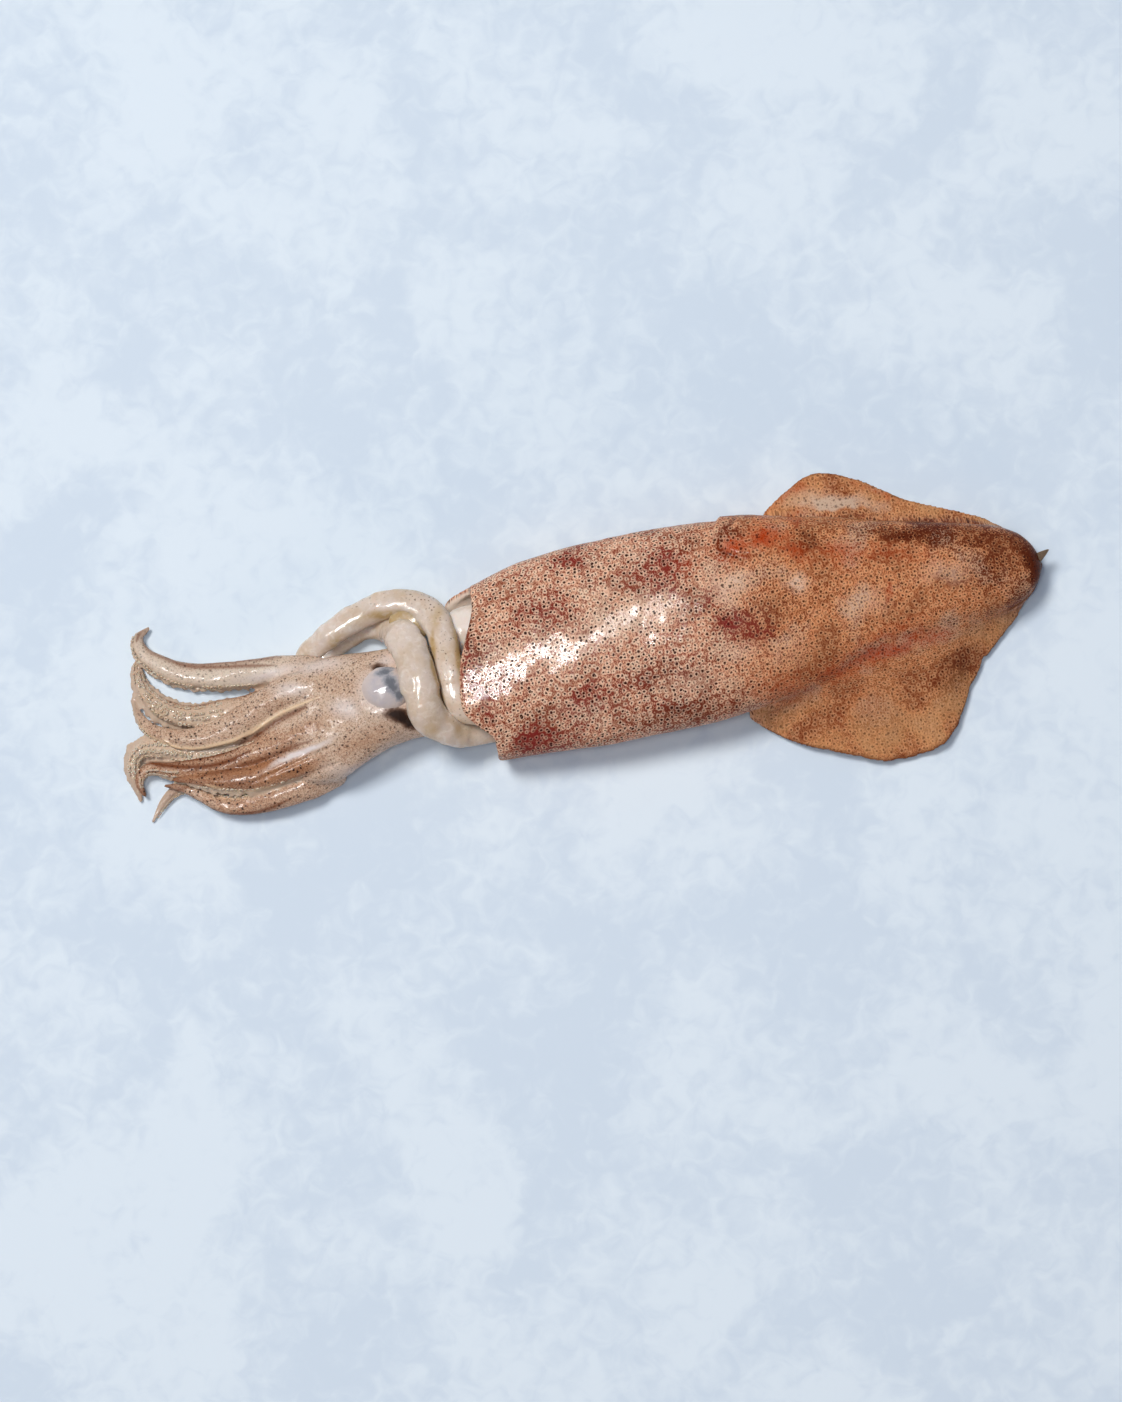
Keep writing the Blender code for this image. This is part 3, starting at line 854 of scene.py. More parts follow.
    def skin_places(self, points: Array) -> Array:
        """Rolls the skin out flat.

        Args:
            points: places in millimetres, one a row.

        Returns:
            How far along the body and round it from the top each point lies, and 0.
        """
        x, y, z = points.T
        section = self.body.at(x)
        middle, half_width, low, high = section.T
        waist = low + OVAL.waist_share * (high - low)
        out = np.abs(y - middle) / np.maximum(half_width, 0.5)
        on_fin = smoothstep(*self.fin_side, out) * smoothstep(*self.fin_front, x)
        turn = OVAL.turn(section, y, z + on_fin * (np.maximum(z, waist) - z))
        row = np.interp(x, self.places, np.arange(len(self.places)))
        column = np.interp(turn, self.turns, np.arange(len(self.turns)))
        i, j = row.astype(int).clip(0, len(self.places) - 2), column.astype(int).clip(0, len(self.turns) - 2)
        s, t = row - i, column - j
        arc = (1 - s) * ((1 - t) * self.arcs[i, j] + t * self.arcs[i, j + 1])
        arc += s * ((1 - t) * self.arcs[i + 1, j] + t * self.arcs[i + 1, j + 1])
        beyond = np.maximum(0.0, np.abs(y - middle) - 0.96 * half_width) * on_fin
        along = np.interp(x, self.places, self.lengths) + np.minimum(0.0, x - self.places[0])
        return np.stack((along, arc - np.sign(y - middle) * beyond, np.zeros(len(x))), axis=1)

    def relief(self, surface: Surface) -> Surface:
        """Gives the skin its wrinkles, swellings and folds as real shape.

        Args:
            surface: the skin, with its values.

        Returns:
            The skin with its points moved.
        """
        points = surface.points
        x, _, z = points.T
        flat, fin = surface.values["skin_place"], surface.values["fin"]
        body = (1 - smoothstep(0.0, 0.2, fin)) * (1 - surface.values["inside"])
        rise = wrinkled(flat, self.body_wrinkles) * body + wrinkled(flat, self.skin_wrinkles)
        rise += wrinkled(flat, self.fin_wrinkles) * smoothstep(0.1, 0.6, fin)
        flap = smoothstep(*self.flap_border, self.flap.far(points)) * smoothstep(*self.flap_height, z)
        rise += self.flap_rise * flap * smoothstep(*self.flap_fade, x)
        rise -= self.seam_depth * seamed(points, (self.flap_edge, self.far_root)) * body
        for valley in self.valleys:
            rise -= self.valley_depth * valley.over(points)
        rise *= smoothstep(*self.lying_height, z)
        return surface.raised(rise, self.sole)

    def tints(self, points: Array) -> dict[str, Array]:
        """Works out the masks of the skin's colours.

        Args:
            points: places in millimetres, one a row.

        Returns:
            "tint" with red, rust, dark and pale, where dark also holds painted shade and pale painted sheen,
            and "ground" with belly, rear, an empty one and matt.
        """
        x, _, z = points.T
        upper = smoothstep(*self.red_height, z)
        red = self.reds.over(points) * upper
        rust = self.rusts.over(points)
        edge = self.flap_edge.over(points)
        # The dark mask is dark pigment and painted shade: the lower near side, the tail's steep rim and the
        # line under the flap's ledge.
        dark = np.maximum(self.darks_and_shade.over(points), edge)
        # The pale mask is pale skin and painted sheen along the highlight and on the far fin's root.
        pale = self.pales.over(points) * upper
        front = x < self.belly_end
        belly = np.maximum(smoothstep(*self.belly_height, z) * front, smoothstep(*self.sole_height, z))
        rear = smoothstep(*self.rear, x)
        matt = np.maximum(smoothstep(*self.matt_height, z) * front, smoothstep(*self.tail, x))
        matt = self.bareness * np.maximum(matt, edge)
        return {
            "tint": np.stack((red, rust, dark, pale), axis=1),
            "ground": np.stack((belly, rear, np.zeros(len(x)), matt), axis=1),
        }

    def build(self) -> Surface:
        """Fuses the tube and the fins, and gives the skin its relief and its masks.

        Returns:
            The finished skin.
        """
        parts = [self.tube()]
        for fin in (self.near_fin, self.far_fin):
            shape = fin.surface(self.body)
            shape.values["inside"] = np.zeros(len(shape.points))
            parts.append(shape)
        skin = fused(parts, self.grain)
        skin.values["fin"] = skin.blurred(skin.values["fin"], 6)
        skin.values["inside"] = skin.blurred(skin.values["inside"], 2)
        skin = skin.moved(skin.blurred(skin.points, 5, keep_size=True))
        x, y, z = skin.points.T
        middle, half_width, _, _ = self.body.at(x).T
        out = np.abs(y - middle) - half_width
        joint = smoothstep(*self.joint_inner, out) * smoothstep(*self.joint_outer, out)
        joint *= smoothstep(*self.joint_front, x)
        joint *= smoothstep(*self.joint_height, z)
        skin = skin.moved(skin.blurred(skin.points, self.fillet_rounds, 0.5 * joint))
        skin.values["skin_place"] = self.skin_places(skin.points)
        skin = self.relief(skin)
        masks = self.tints(skin.points)
        masks["ground"][:, 2] = skin.values.pop("fin")
        steep = smoothstep(0.85, 0.6, skin.blurred(skin.normals()[:, 2:], 4)[:, 0])
        masks["ground"][:, 3] = np.maximum(masks["ground"][:, 3], self.bareness * steep)
        skin.values["lining"] = skin.values.pop("inside")
        skin.values.update(masks)
        return skin


# ---------------------------------------------------------------- limbs


def through(points: Array, count: int, crowding: float = 0.0) -> Array:
    """Points on a smooth curve through the given ones.

    Args:
        points: the knots, whose first three columns are the place.
        count: how many points to make.
        crowding: more than 0 sets them closer together towards the end.

    Returns:
        The points, with as many columns as the knots.
    """
    knots = np.vstack((2 * points[0] - points[1], points, 2 * points[-1] - points[-2]))
    t = np.linspace(0, 1, 24, endpoint=False)[:, None]
    spans = [
        0.5 * (2 * b + (c - a) * t + (2 * a - 5 * b + 4 * c - d) * t**2 + (3 * b - a - 3 * c + d) * t**3)
        for a, b, c, d in zip(knots, knots[1:], knots[2:], knots[3:])
    ]
    fine = np.vstack((*spans, knots[-2]))
    lengths = np.concatenate(([0.0], np.cumsum(np.linalg.norm(np.diff(fine[:, :3], axis=0), axis=1))))
    share = np.linspace(0, 1, count)
    wanted = lengths[-1] * share * (1 + crowding * (1 - share))
    return np.stack([np.interp(wanted, lengths, fine[:, k]) for k in range(fine.shape[1])], axis=1)


class Route:
    """The middle line of a limb, with its half width at each point and the directions across it."""

    def __init__(self, points: Array, halves: Array) -> None:
        """Works out the directions and the share of the length at each point.

        Args:
            points: the middle line, one point a row.
            halves: the half width at each point.
        """
        self.points, self.halves = points, halves
        tangents = np.gradient(points, axis=0)
        self.tangents = tangents / np.linalg.norm(tangents, axis=1)[:, None]
        left = np.cross((0.0, 0.0, 1.0), self.tangents)
        left /= np.maximum(np.linalg.norm(left, axis=1), 1e-6)[:, None]
        self.left = left
        self.up = np.cross(self.tangents, left)
        steps = np.linalg.norm(np.diff(points, axis=0), axis=1)
        self.lengths = np.concatenate(([0.0], np.cumsum(steps)))
        self.shares = self.lengths / self.lengths[-1]

    def denser(self, step: float) -> "Route":
        """The same route with its points closer together.

        Args:
            step: distance between them.

        Returns:
            The new route.
        """
        rows = np.column_stack((self.points, self.halves))
        fine = through(rows, max(8, int(self.lengths[-1] / step)))
        return Route(fine[:, :3], fine[:, 3])

    def out(self, turns: Array, height_share: float) -> Array:
        """The ways from the middle line to the skin.

        Args:
            turns: angles in radians, 0 to the left and a quarter turn up.
            height_share: height over width of the section.

        Returns:
            One vector for each point of the route and each angle.
        """
        across = self.left[:, None, :] * np.cos(turns)[None, :, None]
        above = self.up[:, None, :] * np.sin(turns)[None, :, None] * height_share
        return (across + above) * self.halves[:, None, None]

    def tube(self, sides: int, height_share: float, swell_by: Array | float = 0.0) -> Array:
        """Rings of skin points round the route, rounded at both ends.

        Args:
            sides: points in a ring.
            height_share: height over width of the section.
            swell_by: share that the skin stands out more, for each ring and side.

        Returns:
            Rings, points in a ring, and x, y, z.
        """
        turns = around(sides)
        out = self.out(turns, height_share) * (1 + np.asarray(swell_by))[..., None]
        gap = np.minimum(self.lengths, self.lengths[-1] - self.lengths)
        cap = np.sqrt(np.clip(1 - (1 - gap / np.maximum(self.halves, 0.1)).clip(0, 1) ** 2, 0.02, 1.0))
        return self.points[:, None, :] + out * cap[:, None, None]

    def place(self, share: float, turn: float, height_share: float) -> tuple[Array, Array, Array]:
        """A place on the skin.

        Args:
            share: how far along the route, from 0 to 1.
            turn: angle round the section in degrees.
            height_share: height over width of the section.

        Returns:
            The place, the way straight out of the skin, and the way along the limb.
        """
        columns = np.column_stack((self.points, self.halves, self.left, self.up, self.tangents))
        row = np.array([np.interp(share, self.shares, columns[:, k]) for k in range(columns.shape[1])])
        point, half, left, up, tangent = row[:3], row[3], row[4:7], row[7:10], row[10:]
        angle = math.radians(turn)
        place = point + half * (left * math.cos(angle) + up * math.sin(angle) * height_share)
        out = left * math.cos(angle) * height_share + up * math.sin(angle)
        return place, out / np.linalg.norm(out), tangent


class Tone(Enum):
    """What a band along an arm does to its colour."""

    PIGMENT = "pigment"
    CREAM = "cream"
    BROWN = "brown"
    ORAL = "oral"


@dataclass(frozen=True)
class Band:
    """A lengthwise band on an arm: tone, angle and half width in degrees, reach and strength."""

    tone: Tone
    turn: float
    width: float
    start: float = 0.0
    end: float = 1.0
    strength: float = 1.0

    def over(self, turns: Array, shares: Array) -> Array:
        """How strong the band is over an arm.

        Args:
            turns: angles round the arm, in radians.
            shares: shares of the arm's length.

        Returns:
            Its strength for each share and each angle.
        """
        offset = (np.degrees(turns) - self.turn + 180) % 360 - 180
        round_arm = np.exp(-((offset / self.width) ** 2))[None, :]
        before, after = BAND_FADE
        along = smoothstep(self.start - before, self.start + after, shares)
        along = along * smoothstep(self.end + before, self.end - before, shares)
        return self.strength * round_arm * along[:, None]


@dataclass(frozen=True)
class Cups:
    """Two rows of suckers: angle round the arm, start and end, largest radius, angle between the rows."""

    turn: float
    start: float
    end: float
    radius: float
    apart: float = 34.0


@dataclass(frozen=True)
class Frill:
    """A thin membrane along an arm: the angle that it springs from, its reach, width, droop and thickness."""

    turn: float
    start: float
    end: float
    width: float
    droop: float = 0.35
    thickness: float = 0.75

    def surface(self, route: Route, height_share: float, tones: dict[str, float], seed: int) -> Surface:
        """The membrane, ruffled along its scalloped edge.

        Args:
            route: the arm's middle line.
            height_share: height over width of the arm's section.
            tones: the value of each tone on it.
            seed: chooses its ruffles.

        Returns:
            The closed sheet.
        """
        inside = (route.shares >= self.start) & (route.shares <= self.end)
        middle, half = route.points[inside], route.halves[inside]
        left, share, length = route.left[inside], route.shares[inside], route.lengths[inside]
        angle = math.radians(self.turn)
        side = math.copysign(1.0, math.cos(angle))
        root = middle + left * (half * math.cos(angle) * 0.8)[:, None]
        root[:, 2] += half * math.sin(angle) * height_share
        reach = (share - self.start) / (self.end - self.start)
        taper = np.sqrt(np.clip(4 * reach * (1 - reach), 0.0, 1.0)) ** 0.7
        scallop = 1 + 0.16 * np.sin(length * 2.3 + seed) + 0.12 * np.sin(length * 0.9 + 2.0 * seed)
        width = np.maximum(self.width * taper * scallop * np.minimum(1.0, half / 2.2) + 0.2 * half, 0.4)
        v = np.linspace(0, 1, 10)[None, :]
        sheet = root[:, None, :] + left[:, None, :] * (side * width[:, None] * v)[:, :, None]
        ruffle = 0.45 * np.sin(length * 1.7 + seed)[:, None] * v**2
        sheet[:, :, 2] += ruffle - self.droop * width[:, None] * v**1.5
        thick = self.thickness * (1 - 0.35 * v) * np.minimum(1.0, half / 1.6)[:, None]
        sheet[:, :, 2] = np.maximum(sheet[:, :, 2], thick / 2 + 0.15)
        up = np.array((0.0, 0.0, 0.5)) * thick[:, :, None]
        grid = np.concatenate((sheet + up, (sheet - up)[:, ::-1]), axis=1)
        if side < 0:
            grid = grid[:, ::-1]
        return grid_surface(grid, tones)


@dataclass(frozen=True)
class Arm:
    """One arm: root height, widths, how far its width lasts, plan route, bands, suckers and frills."""

    root_height: float
    root_width: float
    tip_width: float
    fullness: float
    plan: tuple[Row, ...]
    pigment: float
    bands: tuple[Band, ...] = ()
    cups: tuple[Cups, ...] = ()
    ridge: Span = (0.0, 0.0)
    frills: tuple[Frill, ...] = ()


HEAD_PIGMENT = 0.5
ARMS: dict[str, Arm] = {
    "arm_8": Arm(4.0, 7.0, 1.0, 1.3, (
        (-82.0, -11.6), (-97.0, -17.4), (-108.0, -20.8), (-120.0, -19.8), (-130.0, -17.0), (-136.5, -17.8),
        (-141.5, -22.0), (-145.0, -26.6)), 0.45,
        (Band(Tone.BROWN, 150, 40, 0.72, 1.0, 0.8), Band(Tone.BROWN, 60, 80, 0.6, 1.0, 0.6),
         Band(Tone.ORAL, 100, 60, 0.2, 0.6)),
        (Cups(95, 0.25, 0.72, 0.8), Cups(20, 0.7, 0.97, 0.5)),
        frills=(Frill(175, 0.2, 0.8, 1.6), Frill(5, 0.6, 0.98, 1.0))),
    "arm_2": Arm(4.0, 7.6, 1.0, 2.4, (
        (-82.0, 3.6), (-98.0, 4.4), (-112.0, 3.8), (-126.0, 3.9), (-134.5, 7.6), (-139.8, 13.6),
        (-141.4, 20.0), (-140.3, 26.6)), 0.5,
        (Band(Tone.PIGMENT, 165, 42, 0.1, 0.75, 0.85), Band(Tone.ORAL, 75, 60, 0.4, 1.0, 0.8),
         Band(Tone.BROWN, 178, 16, 0.15, 0.6, 0.5)),
        (Cups(66, 0.4, 0.96, 0.8), Cups(124, 0.46, 0.93, 0.62)),
        frills=(Frill(0, 0.2, 0.97, 2.4), Frill(180, 0.4, 0.97, 1.5))),
    "arm_4": Arm(4.0, 7.4, 0.9, 2.2, (
        (-82.0, -3.9), (-98.0, -4.2), (-112.0, -7.4), (-126.0, -7.8), (-137.0, -4.6), (-144.4, -3.6),
        (-148.0, -8.6), (-147.3, -19.6)), 0.4,
        (Band(Tone.ORAL, 95, 60, 0.1, 1.0, 0.8),),
        (Cups(104, 0.2, 0.9, 0.8), Cups(60, 0.3, 0.96, 0.66)),
        frills=(Frill(0, 0.2, 0.97, 2.2), Frill(180, 0.2, 0.97, 2.2))),
    "arm_7": Arm(4.0, 6.8, 0.9, 2.2, (
        (-82.0, -19.2), (-97.0, -23.8), (-112.0, -25.8), (-121.0, -24.5), (-128.0, -20.2), (-133.0, -17.4),
        (-139.4, -15.6)), 0.72,
        (Band(Tone.BROWN, 2, 14, 0.45, 1.0, 0.75), Band(Tone.ORAL, 165, 30, 0.25, 0.9, 0.9),
         Band(Tone.CREAM, 132, 10, 0.3, 0.8, 0.5)),
        (Cups(158, 0.25, 0.94, 0.75),),
        frills=(Frill(180, 0.15, 0.95, 2.6),)),
    "arm_1": Arm(5.0, 7.4, 0.8, 3.0, (
        (-82.0, 10.8), (-96.0, 13.4), (-112.0, 15.1), (-124.0, 16.9), (-132.0, 20.6), (-138.2, 26.2),
        (-139.2, 31.4), (-134.9, 34.4)), 0.1,
        (Band(Tone.BROWN, 152, 15, 0.2, 1.0, 0.75), Band(Tone.ORAL, 10, 38, 0.15, 1.0, 0.8),
         Band(Tone.PIGMENT, 140, 28, 0.1, 0.9, 0.35)),
        (Cups(12, 0.18, 0.93, 0.72),), (152.0, 0.06), (Frill(0, 0.12, 0.95, 1.7),)),
    "arm_3": Arm(11.2, 9.0, 0.9, 1.3, (
        (-82.0, 6.4), (-96.0, 6.2), (-109.0, 1.2), (-119.0, -2.2), (-130.0, -2.2), (-138.6, 1.4),
        (-143.0, 7.2), (-144.7, 13.4)), 0.62,
        (Band(Tone.CREAM, 22, 15, 0.08, 0.97), Band(Tone.ORAL, -20, 26, 0.1, 1.0)),
        (Cups(-12, 0.1, 0.9, 0.74),), (20.0, 0.12), (Frill(-18, 0.1, 0.96, 2.6, 0.6),)),
    "arm_5": Arm(11.2, 8.8, 0.9, 1.3, (
        (-82.0, -6.2), (-95.0, -7.6), (-107.0, -10.8), (-118.0, -12.6), (-134.0, -11.5), (-142.6, -9.6),
        (-146.6, -12.8), (-145.4, -18.2)), 0.85,
        (Band(Tone.BROWN, 158, 17, 0.42, 1.0, 1.0), Band(Tone.ORAL, 192, 20, 0.3, 1.0, 0.7)),
        (Cups(196, 0.3, 0.7, 0.6), Cups(60, 0.72, 0.96, 0.5)), (158.0, 0.08),
        (Frill(196, 0.2, 0.9, 1.8, 0.7), Frill(-5, 0.6, 0.97, 1.2))),
    "arm_6": Arm(10.6, 7.4, 0.9, 1.6, (
        (-82.0, -14.2), (-96.0, -16.0), (-110.0, -18.0), (-120.0, -17.0), (-136.0, -14.2)), 1.0,
        (Band(Tone.BROWN, 60, 45, 0.5, 1.0, 0.45), Band(Tone.ORAL, -22, 22, 0.2, 1.0, 0.9)),
        (Cups(-10, 0.15, 0.85, 0.74),), frills=(Frill(-14, 0.12, 0.92, 2.8, 0.5),)),
}


@dataclass
class ArmCrown:
    """The head with the eight arms that spring from it, fused into one skin, and their suckers.

    The lid is a swelling round the eye: its radius, width and height. A cup's profile has rows of radius,
    height and how deep in the mouth it is, for a sucker of radius 1. Cups differ in size and lean by
    chance, and the missing share of them has come off. A span is where an eased step starts and ends, along
    the body or, where it is called a height, up from the surface.
    """

    head: tuple[Row, ...] = (
        (-16.0, 0.1, 6.8, 4.8, 14.4),
        (-36.0, 0.0, 7.8, 3.6, 14.2),
        (-44.0, -0.2, 10.6, 1.2, 15.0),
        (-50.5, -0.3, 14.2, 0.0, 16.2),
        (-58.0, 0.2, 14.8, 0.0, 18.6),
        (-65.0, -0.5, 15.3, 0.0, 21.0),
        (-72.0, -1.8, 16.6, 0.0, 20.2),
        (-79.0, -3.2, 18.3, 0.0, 18.4),
        (-85.0, -4.6, 19.2, 0.0, 16.6),
        (-90.0, -4.8, 18.8, 0.2, 15.2),
        (-96.0, -5.0, 17.0, 0.4, 13.6),
        (-103.0, -5.6, 13.4, 0.8, 11.4),
        (-110.0, -6.4, 8.4, 1.6, 8.4),
        (-115.0, -7.0, 3.0, 2.6, 5.0),
    )
    eye_middle: Row = (-64.4, 1.7)
    creams: tuple[Seam, ...] = (
        Seam(((-85.5, 3.2), (-89.4, 2.4), (-95.0, 1.2), (-100.1, -0.3), (-104.0, -2.0), (-108.2, -4.0),
              (-113.0, -5.1), (-118.2, -5.7), (-126.8, -5.9), (-133.4, -4.1), (-136.3, -1.3)), 0.62),
        Seam(((-111.0, 9.4), (-116.0, 8.6), (-122.0, 8.4), (-127.0, 9.6)), 0.5, 0.6),
        Seam(((-104.0, -21.6), (-112.0, -21.9), (-119.0, -20.6), (-126.0, -17.2)), 0.5, 0.7),
    )
    grooves: tuple[Seam, ...] = (
        Seam(((-90.0, 0.9), (-95.0, -0.5), (-100.5, -2.2), (-108.6, -5.8), (-114.0, -7.0)), 1.0),
        Seam(((-83.0, -12.4), (-92.0, -14.6), (-102.0, -17.3), (-111.0, -19.6)), 0.8, 0.6),
        Seam(((-89.0, 11.0), (-96.0, 9.8), (-103.0, 9.6), (-110.0, 9.8)), 0.8, 0.6),
        Seam(((-82.0, -17.8), (-92.0, -20.0), (-103.0, -22.4)), 0.8, 0.5),
    )
    browns: tuple[Seam, ...] = (
        Seam(((-145.0, -6.4), (-140.4, -8.4), (-134.0, -10.3), (-126.0, -11.8), (-117.5, -11.6),
              (-110.0, -9.6)), 1.0),
        Seam(((-90.0, -9.6), (-98.0, -11.0), (-106.0, -12.7), (-118.0, -14.2), (-128.0, -14.6)), 0.9, 0.7),
        Seam(((-98.0, 15.6), (-108.0, 17.2), (-118.0, 18.6), (-127.0, 21.0), (-134.0, 26.6)), 0.7, 0.75),
        Seam(((-108.4, -5.6), (-105.0, -4.3)), 0.9, 1.0),
        Seam(((-100.0, -26.6), (-110.0, -28.8), (-120.0, -28.2), (-128.0, -24.4)), 0.8, 0.8),
        Seam(((-131.0, -17.2), (-136.5, -18.6), (-141.5, -22.6), (-145.0, -27.0)), 1.3, 0.7),
        Seam(((-134.6, 34.6), (-138.0, 33.4), (-139.8, 30.6)), 0.8, 0.8),
    )
    crown_x: float = -91.0
    height_share: float = 0.8
    arm_points: int = 20
    arm_step: float = 0.55
    arm_rounds: int = 12
    tip_crowding: float = 0.45
    gap: float = 0.35
    touch: float = 0.5
    root_touch: float = 1.0
    flatten: float = 0.9
    grain: float = 0.42
    head_rings: int = 150
    head_sides: int = 120
    arm_sides: int = 44
    cup_sides: int = 12
    cup_seed: int = 7
    cup_sizes: Span = (0.62, 1.15)
    cup_lean: float = 0.4
    cup_spacing: float = 0.98
    cups_missing: float = 0.16
    cup_profile: tuple[Row, ...] = (
        (0.6, -0.6, 0.1), (0.8, -0.1, 0.1), (1.0, 0.2, 0.0), (1.0, 0.42, 0.0), (0.84, 0.6, 0.1),
        (0.62, 0.62, 0.5), (0.36, 0.46, 1.0), (0.15, 0.4, 1.0),
    )
    wrinkles: tuple[Wrinkle, ...] = (
        Wrinkle(0.22, 6.0, 11), Wrinkle(0.15, 2.6, 12, (0.45, 1.0, 1.0)), Wrinkle(0.06, 1.2, 13),
    )
    lid: Row = (8.2, 2.4, 0.45)
    cream_rise: float = 0.5
    groove_depth: float = 0.75
    sole: float = 0.05
    lid_height: Span = (12.0, 16.0)
    line_height: Span = (3.0, 6.0)
    lying_height: Span = (0.1, 1.0)
    face_height: Span = (4.0, 8.0)
    under_height: Span = (3.5, 1.0)
    band_height: Span = (0.8, 2.0)
    softened: Span = (-116.0, -98.0)
    kept_thin: Span = (-108.0, -122.0)
    thin_share: float = 0.8
    # Milky skin round the eye and along the pale streak, and also painted sheen: whitish patches on the head
    # where wet glints lie.
    milks_and_sheen: Blots = Blots(0.7, 101, (
        (*eye_middle, 12.6, 11.0, 0, 1.2), (-62, 11, 7, 4, 10, 0.7), (-94.5, -12.9, 16, 1.7, 13, 1.6),
        (-78, -1.5, 8, 5, -10, 0.8), (-94, 7, 9, 3.6, -8, 0.7), (-84, 13, 14, 4, 0, 0.6),
        (-78, -21.5, 16, 3.5, -14, 0.5), (-100, 13.4, 18, 3, 6, 0.8),
    ))
    blacks: Blots = Blots(0.9, 121, (
        (-61.6, -7.6, 8.4, 3.8, -26, 1.5), (-58, -10, 5.0, 4.0, -20, 1.4), (-65.4, 9.2, 4.8, 2.4, 0, 1.2),
        (-50, -12, 5, 3, 0, 0.5), (-107, -4.6, 1.2, 0.8, 0, 1.0), (-111.5, -5.4, 1.6, 0.8, 0, 1.0),
        (-126, -25.4, 1.2, 0.9, 0, 1.0),
    ))
    ruddies: Blots = Blots(1.2, 141, (
        (-110, -14.5, 22, 5.0, 6, 0.9), (-99, -18, 20, 3.6, 10, 0.8), (-76, 6, 13, 5, 0, 0.2),
        (-76, -13, 18, 5, 10, 0.5), (-92, -6.5, 16, 4, 12, 0.6), (-128, -14, 18, 3.5, 0, 0.5),
        (-114, -25, 14, 3.5, 0, 0.5),
    ))
    routes: dict[str, Route] = field(default_factory=dict)

    def lay(self, under: Sequence[Route]) -> None:
        """Lays every arm on the surface or on the limbs laid before it.

        Args:
            under: routes of the limbs that lie there already.
        """
        laid = [np.column_stack((route.points, route.halves)) for route in under]
        for name, arm in ARMS.items():
            plan = np.array([(x, y, 0.0) for x, y in arm.plan])
            line = through(plan, self.arm_points, self.tip_crowding)
            share = np.linspace(0, 1, self.arm_points) ** arm.fullness
            halves = (arm.tip_width + (arm.root_width - arm.tip_width) * (1 - share)) / 2
            rest = self.height_share * halves + 0.1
            for other in laid:
                reach = halves[:, None] + other[None, :, 3] + self.gap
                across = np.linalg.norm(line[:, None, :2] - other[None, :, :2], axis=2)
                rise = self.height_share * np.sqrt(np.maximum(reach**2 - across**2, 0.0))
                rest = np.maximum(rest, np.where(across < reach, other[None, :, 2] + rise, 0.0).max(1))
            free = line[:, 0] <= self.crown_x
            heights = np.where(free, rest, arm.root_height)
            for _ in range(self.arm_rounds):
                padded = np.concatenate((heights[:1], heights, heights[-1:]))
                heights = np.where(free, np.maximum(heights, (padded[:-2] + padded[2:]) / 2), heights)
            line[:, 2] = heights
            route = Route(line, halves)
            fine = route.denser(self.arm_step)
            laid.append(np.column_stack((fine.points, fine.halves)))
            self.routes[name] = fine

    def arm_surface(self, name: str) -> Surface:
        """One arm with its ridge and the tones of its bands.

        Args:
            name: the arm's name.

        Returns:
            The closed surface, with the value of each tone.
        """
        arm, route = ARMS[name], self.routes[name]
        turns = around(self.arm_sides)
        ridge_turn, ridge_height = arm.ridge
        ridge = Band(Tone.CREAM, ridge_turn, 16.0, 0.05, 0.98).over(turns, route.shares) * ridge_height
        grow = self.touch * smoothstep(0.98, 0.6, route.shares)
        grow += self.root_touch * smoothstep(0.6, 0.1, route.shares)
        touch = grow / np.maximum(route.halves, 0.6)
        folds = 0.05 * np.sin(3 * turns[None, :] + 2.5 * np.sin(route.lengths[:, None] / 11.0))
        grid = route.tube(self.arm_sides, self.height_share * self.flatten, ridge + folds + touch[:, None])
        grid[:, :, 2] = np.maximum(grid[:, :, 2], 0.12)
        tones = {tone: np.zeros(grid.shape[:2]) for tone in Tone}
        own = smoothstep(0.08, 0.3, route.shares)[:, None]
        tones[Tone.PIGMENT] += HEAD_PIGMENT + (arm.pigment - HEAD_PIGMENT) * own
        for band in arm.bands:
            tones[band.tone] = np.maximum(tones[band.tone], band.over(turns, route.shares))
        tip = smoothstep(0.86, 1.0, route.shares)[:, None]
        tones[Tone.BROWN] = np.maximum(tones[Tone.BROWN], 0.7 * tip)
        return grid_surface(grid, {tone.value: value for tone, value in tones.items()})

    def frill_surfaces(self) -> list[Surface]:
        """The membranes along the arms.

        Returns:
            One closed sheet for each.
        """
        tones = {tone.value: 0.0 for tone in Tone}
        tones.update({Tone.ORAL.value: 0.85, Tone.PIGMENT.value: 0.2})
        made = []
        for number, (name, arm) in enumerate(ARMS.items()):
            made += [
                frill.surface(self.routes[name], self.height_share, tones, number + k)
                for k, frill in enumerate(arm.frills)
            ]
        return made

    def head_surface(self) -> Surface:
        """The head and neck.

        Returns:
            The closed surface, with the value of each tone.
        """
        body = Stations(self.head)
        turns = around(self.head_sides)
        places = np.linspace(body.start, body.end, self.head_rings)
        grid = np.array([section_ring(body, x, turns) for x in places])
        values = {tone.value: 0.0 for tone in Tone}
        return grid_surface(grid, values | {Tone.PIGMENT.value: HEAD_PIGMENT})

    def relief(self, skin: Surface) -> Surface:
        """Gives the skin its small folds, its seams and the soft lid round the eye.

        Args:
            skin: the skin.

        Returns:
            The skin with its points moved.
        """
        points = skin.points
        rise = wrinkled(points, self.wrinkles)
        far = np.hypot(points[:, 0] - self.eye_middle[0], points[:, 1] - self.eye_middle[1])
        radius, width, height = self.lid
        rise += height * np.exp(-(((far - radius) / width) ** 2)) * smoothstep(*self.lid_height, points[:, 2])
        lines = self.cream_rise * seamed(points, self.creams)
        lines -= self.groove_depth * seamed(points, self.grooves)
        rise += smoothstep(*self.line_height, points[:, 2]) * lines
        rise *= smoothstep(*self.lying_height, points[:, 2])
        return skin.raised(rise, self.sole)

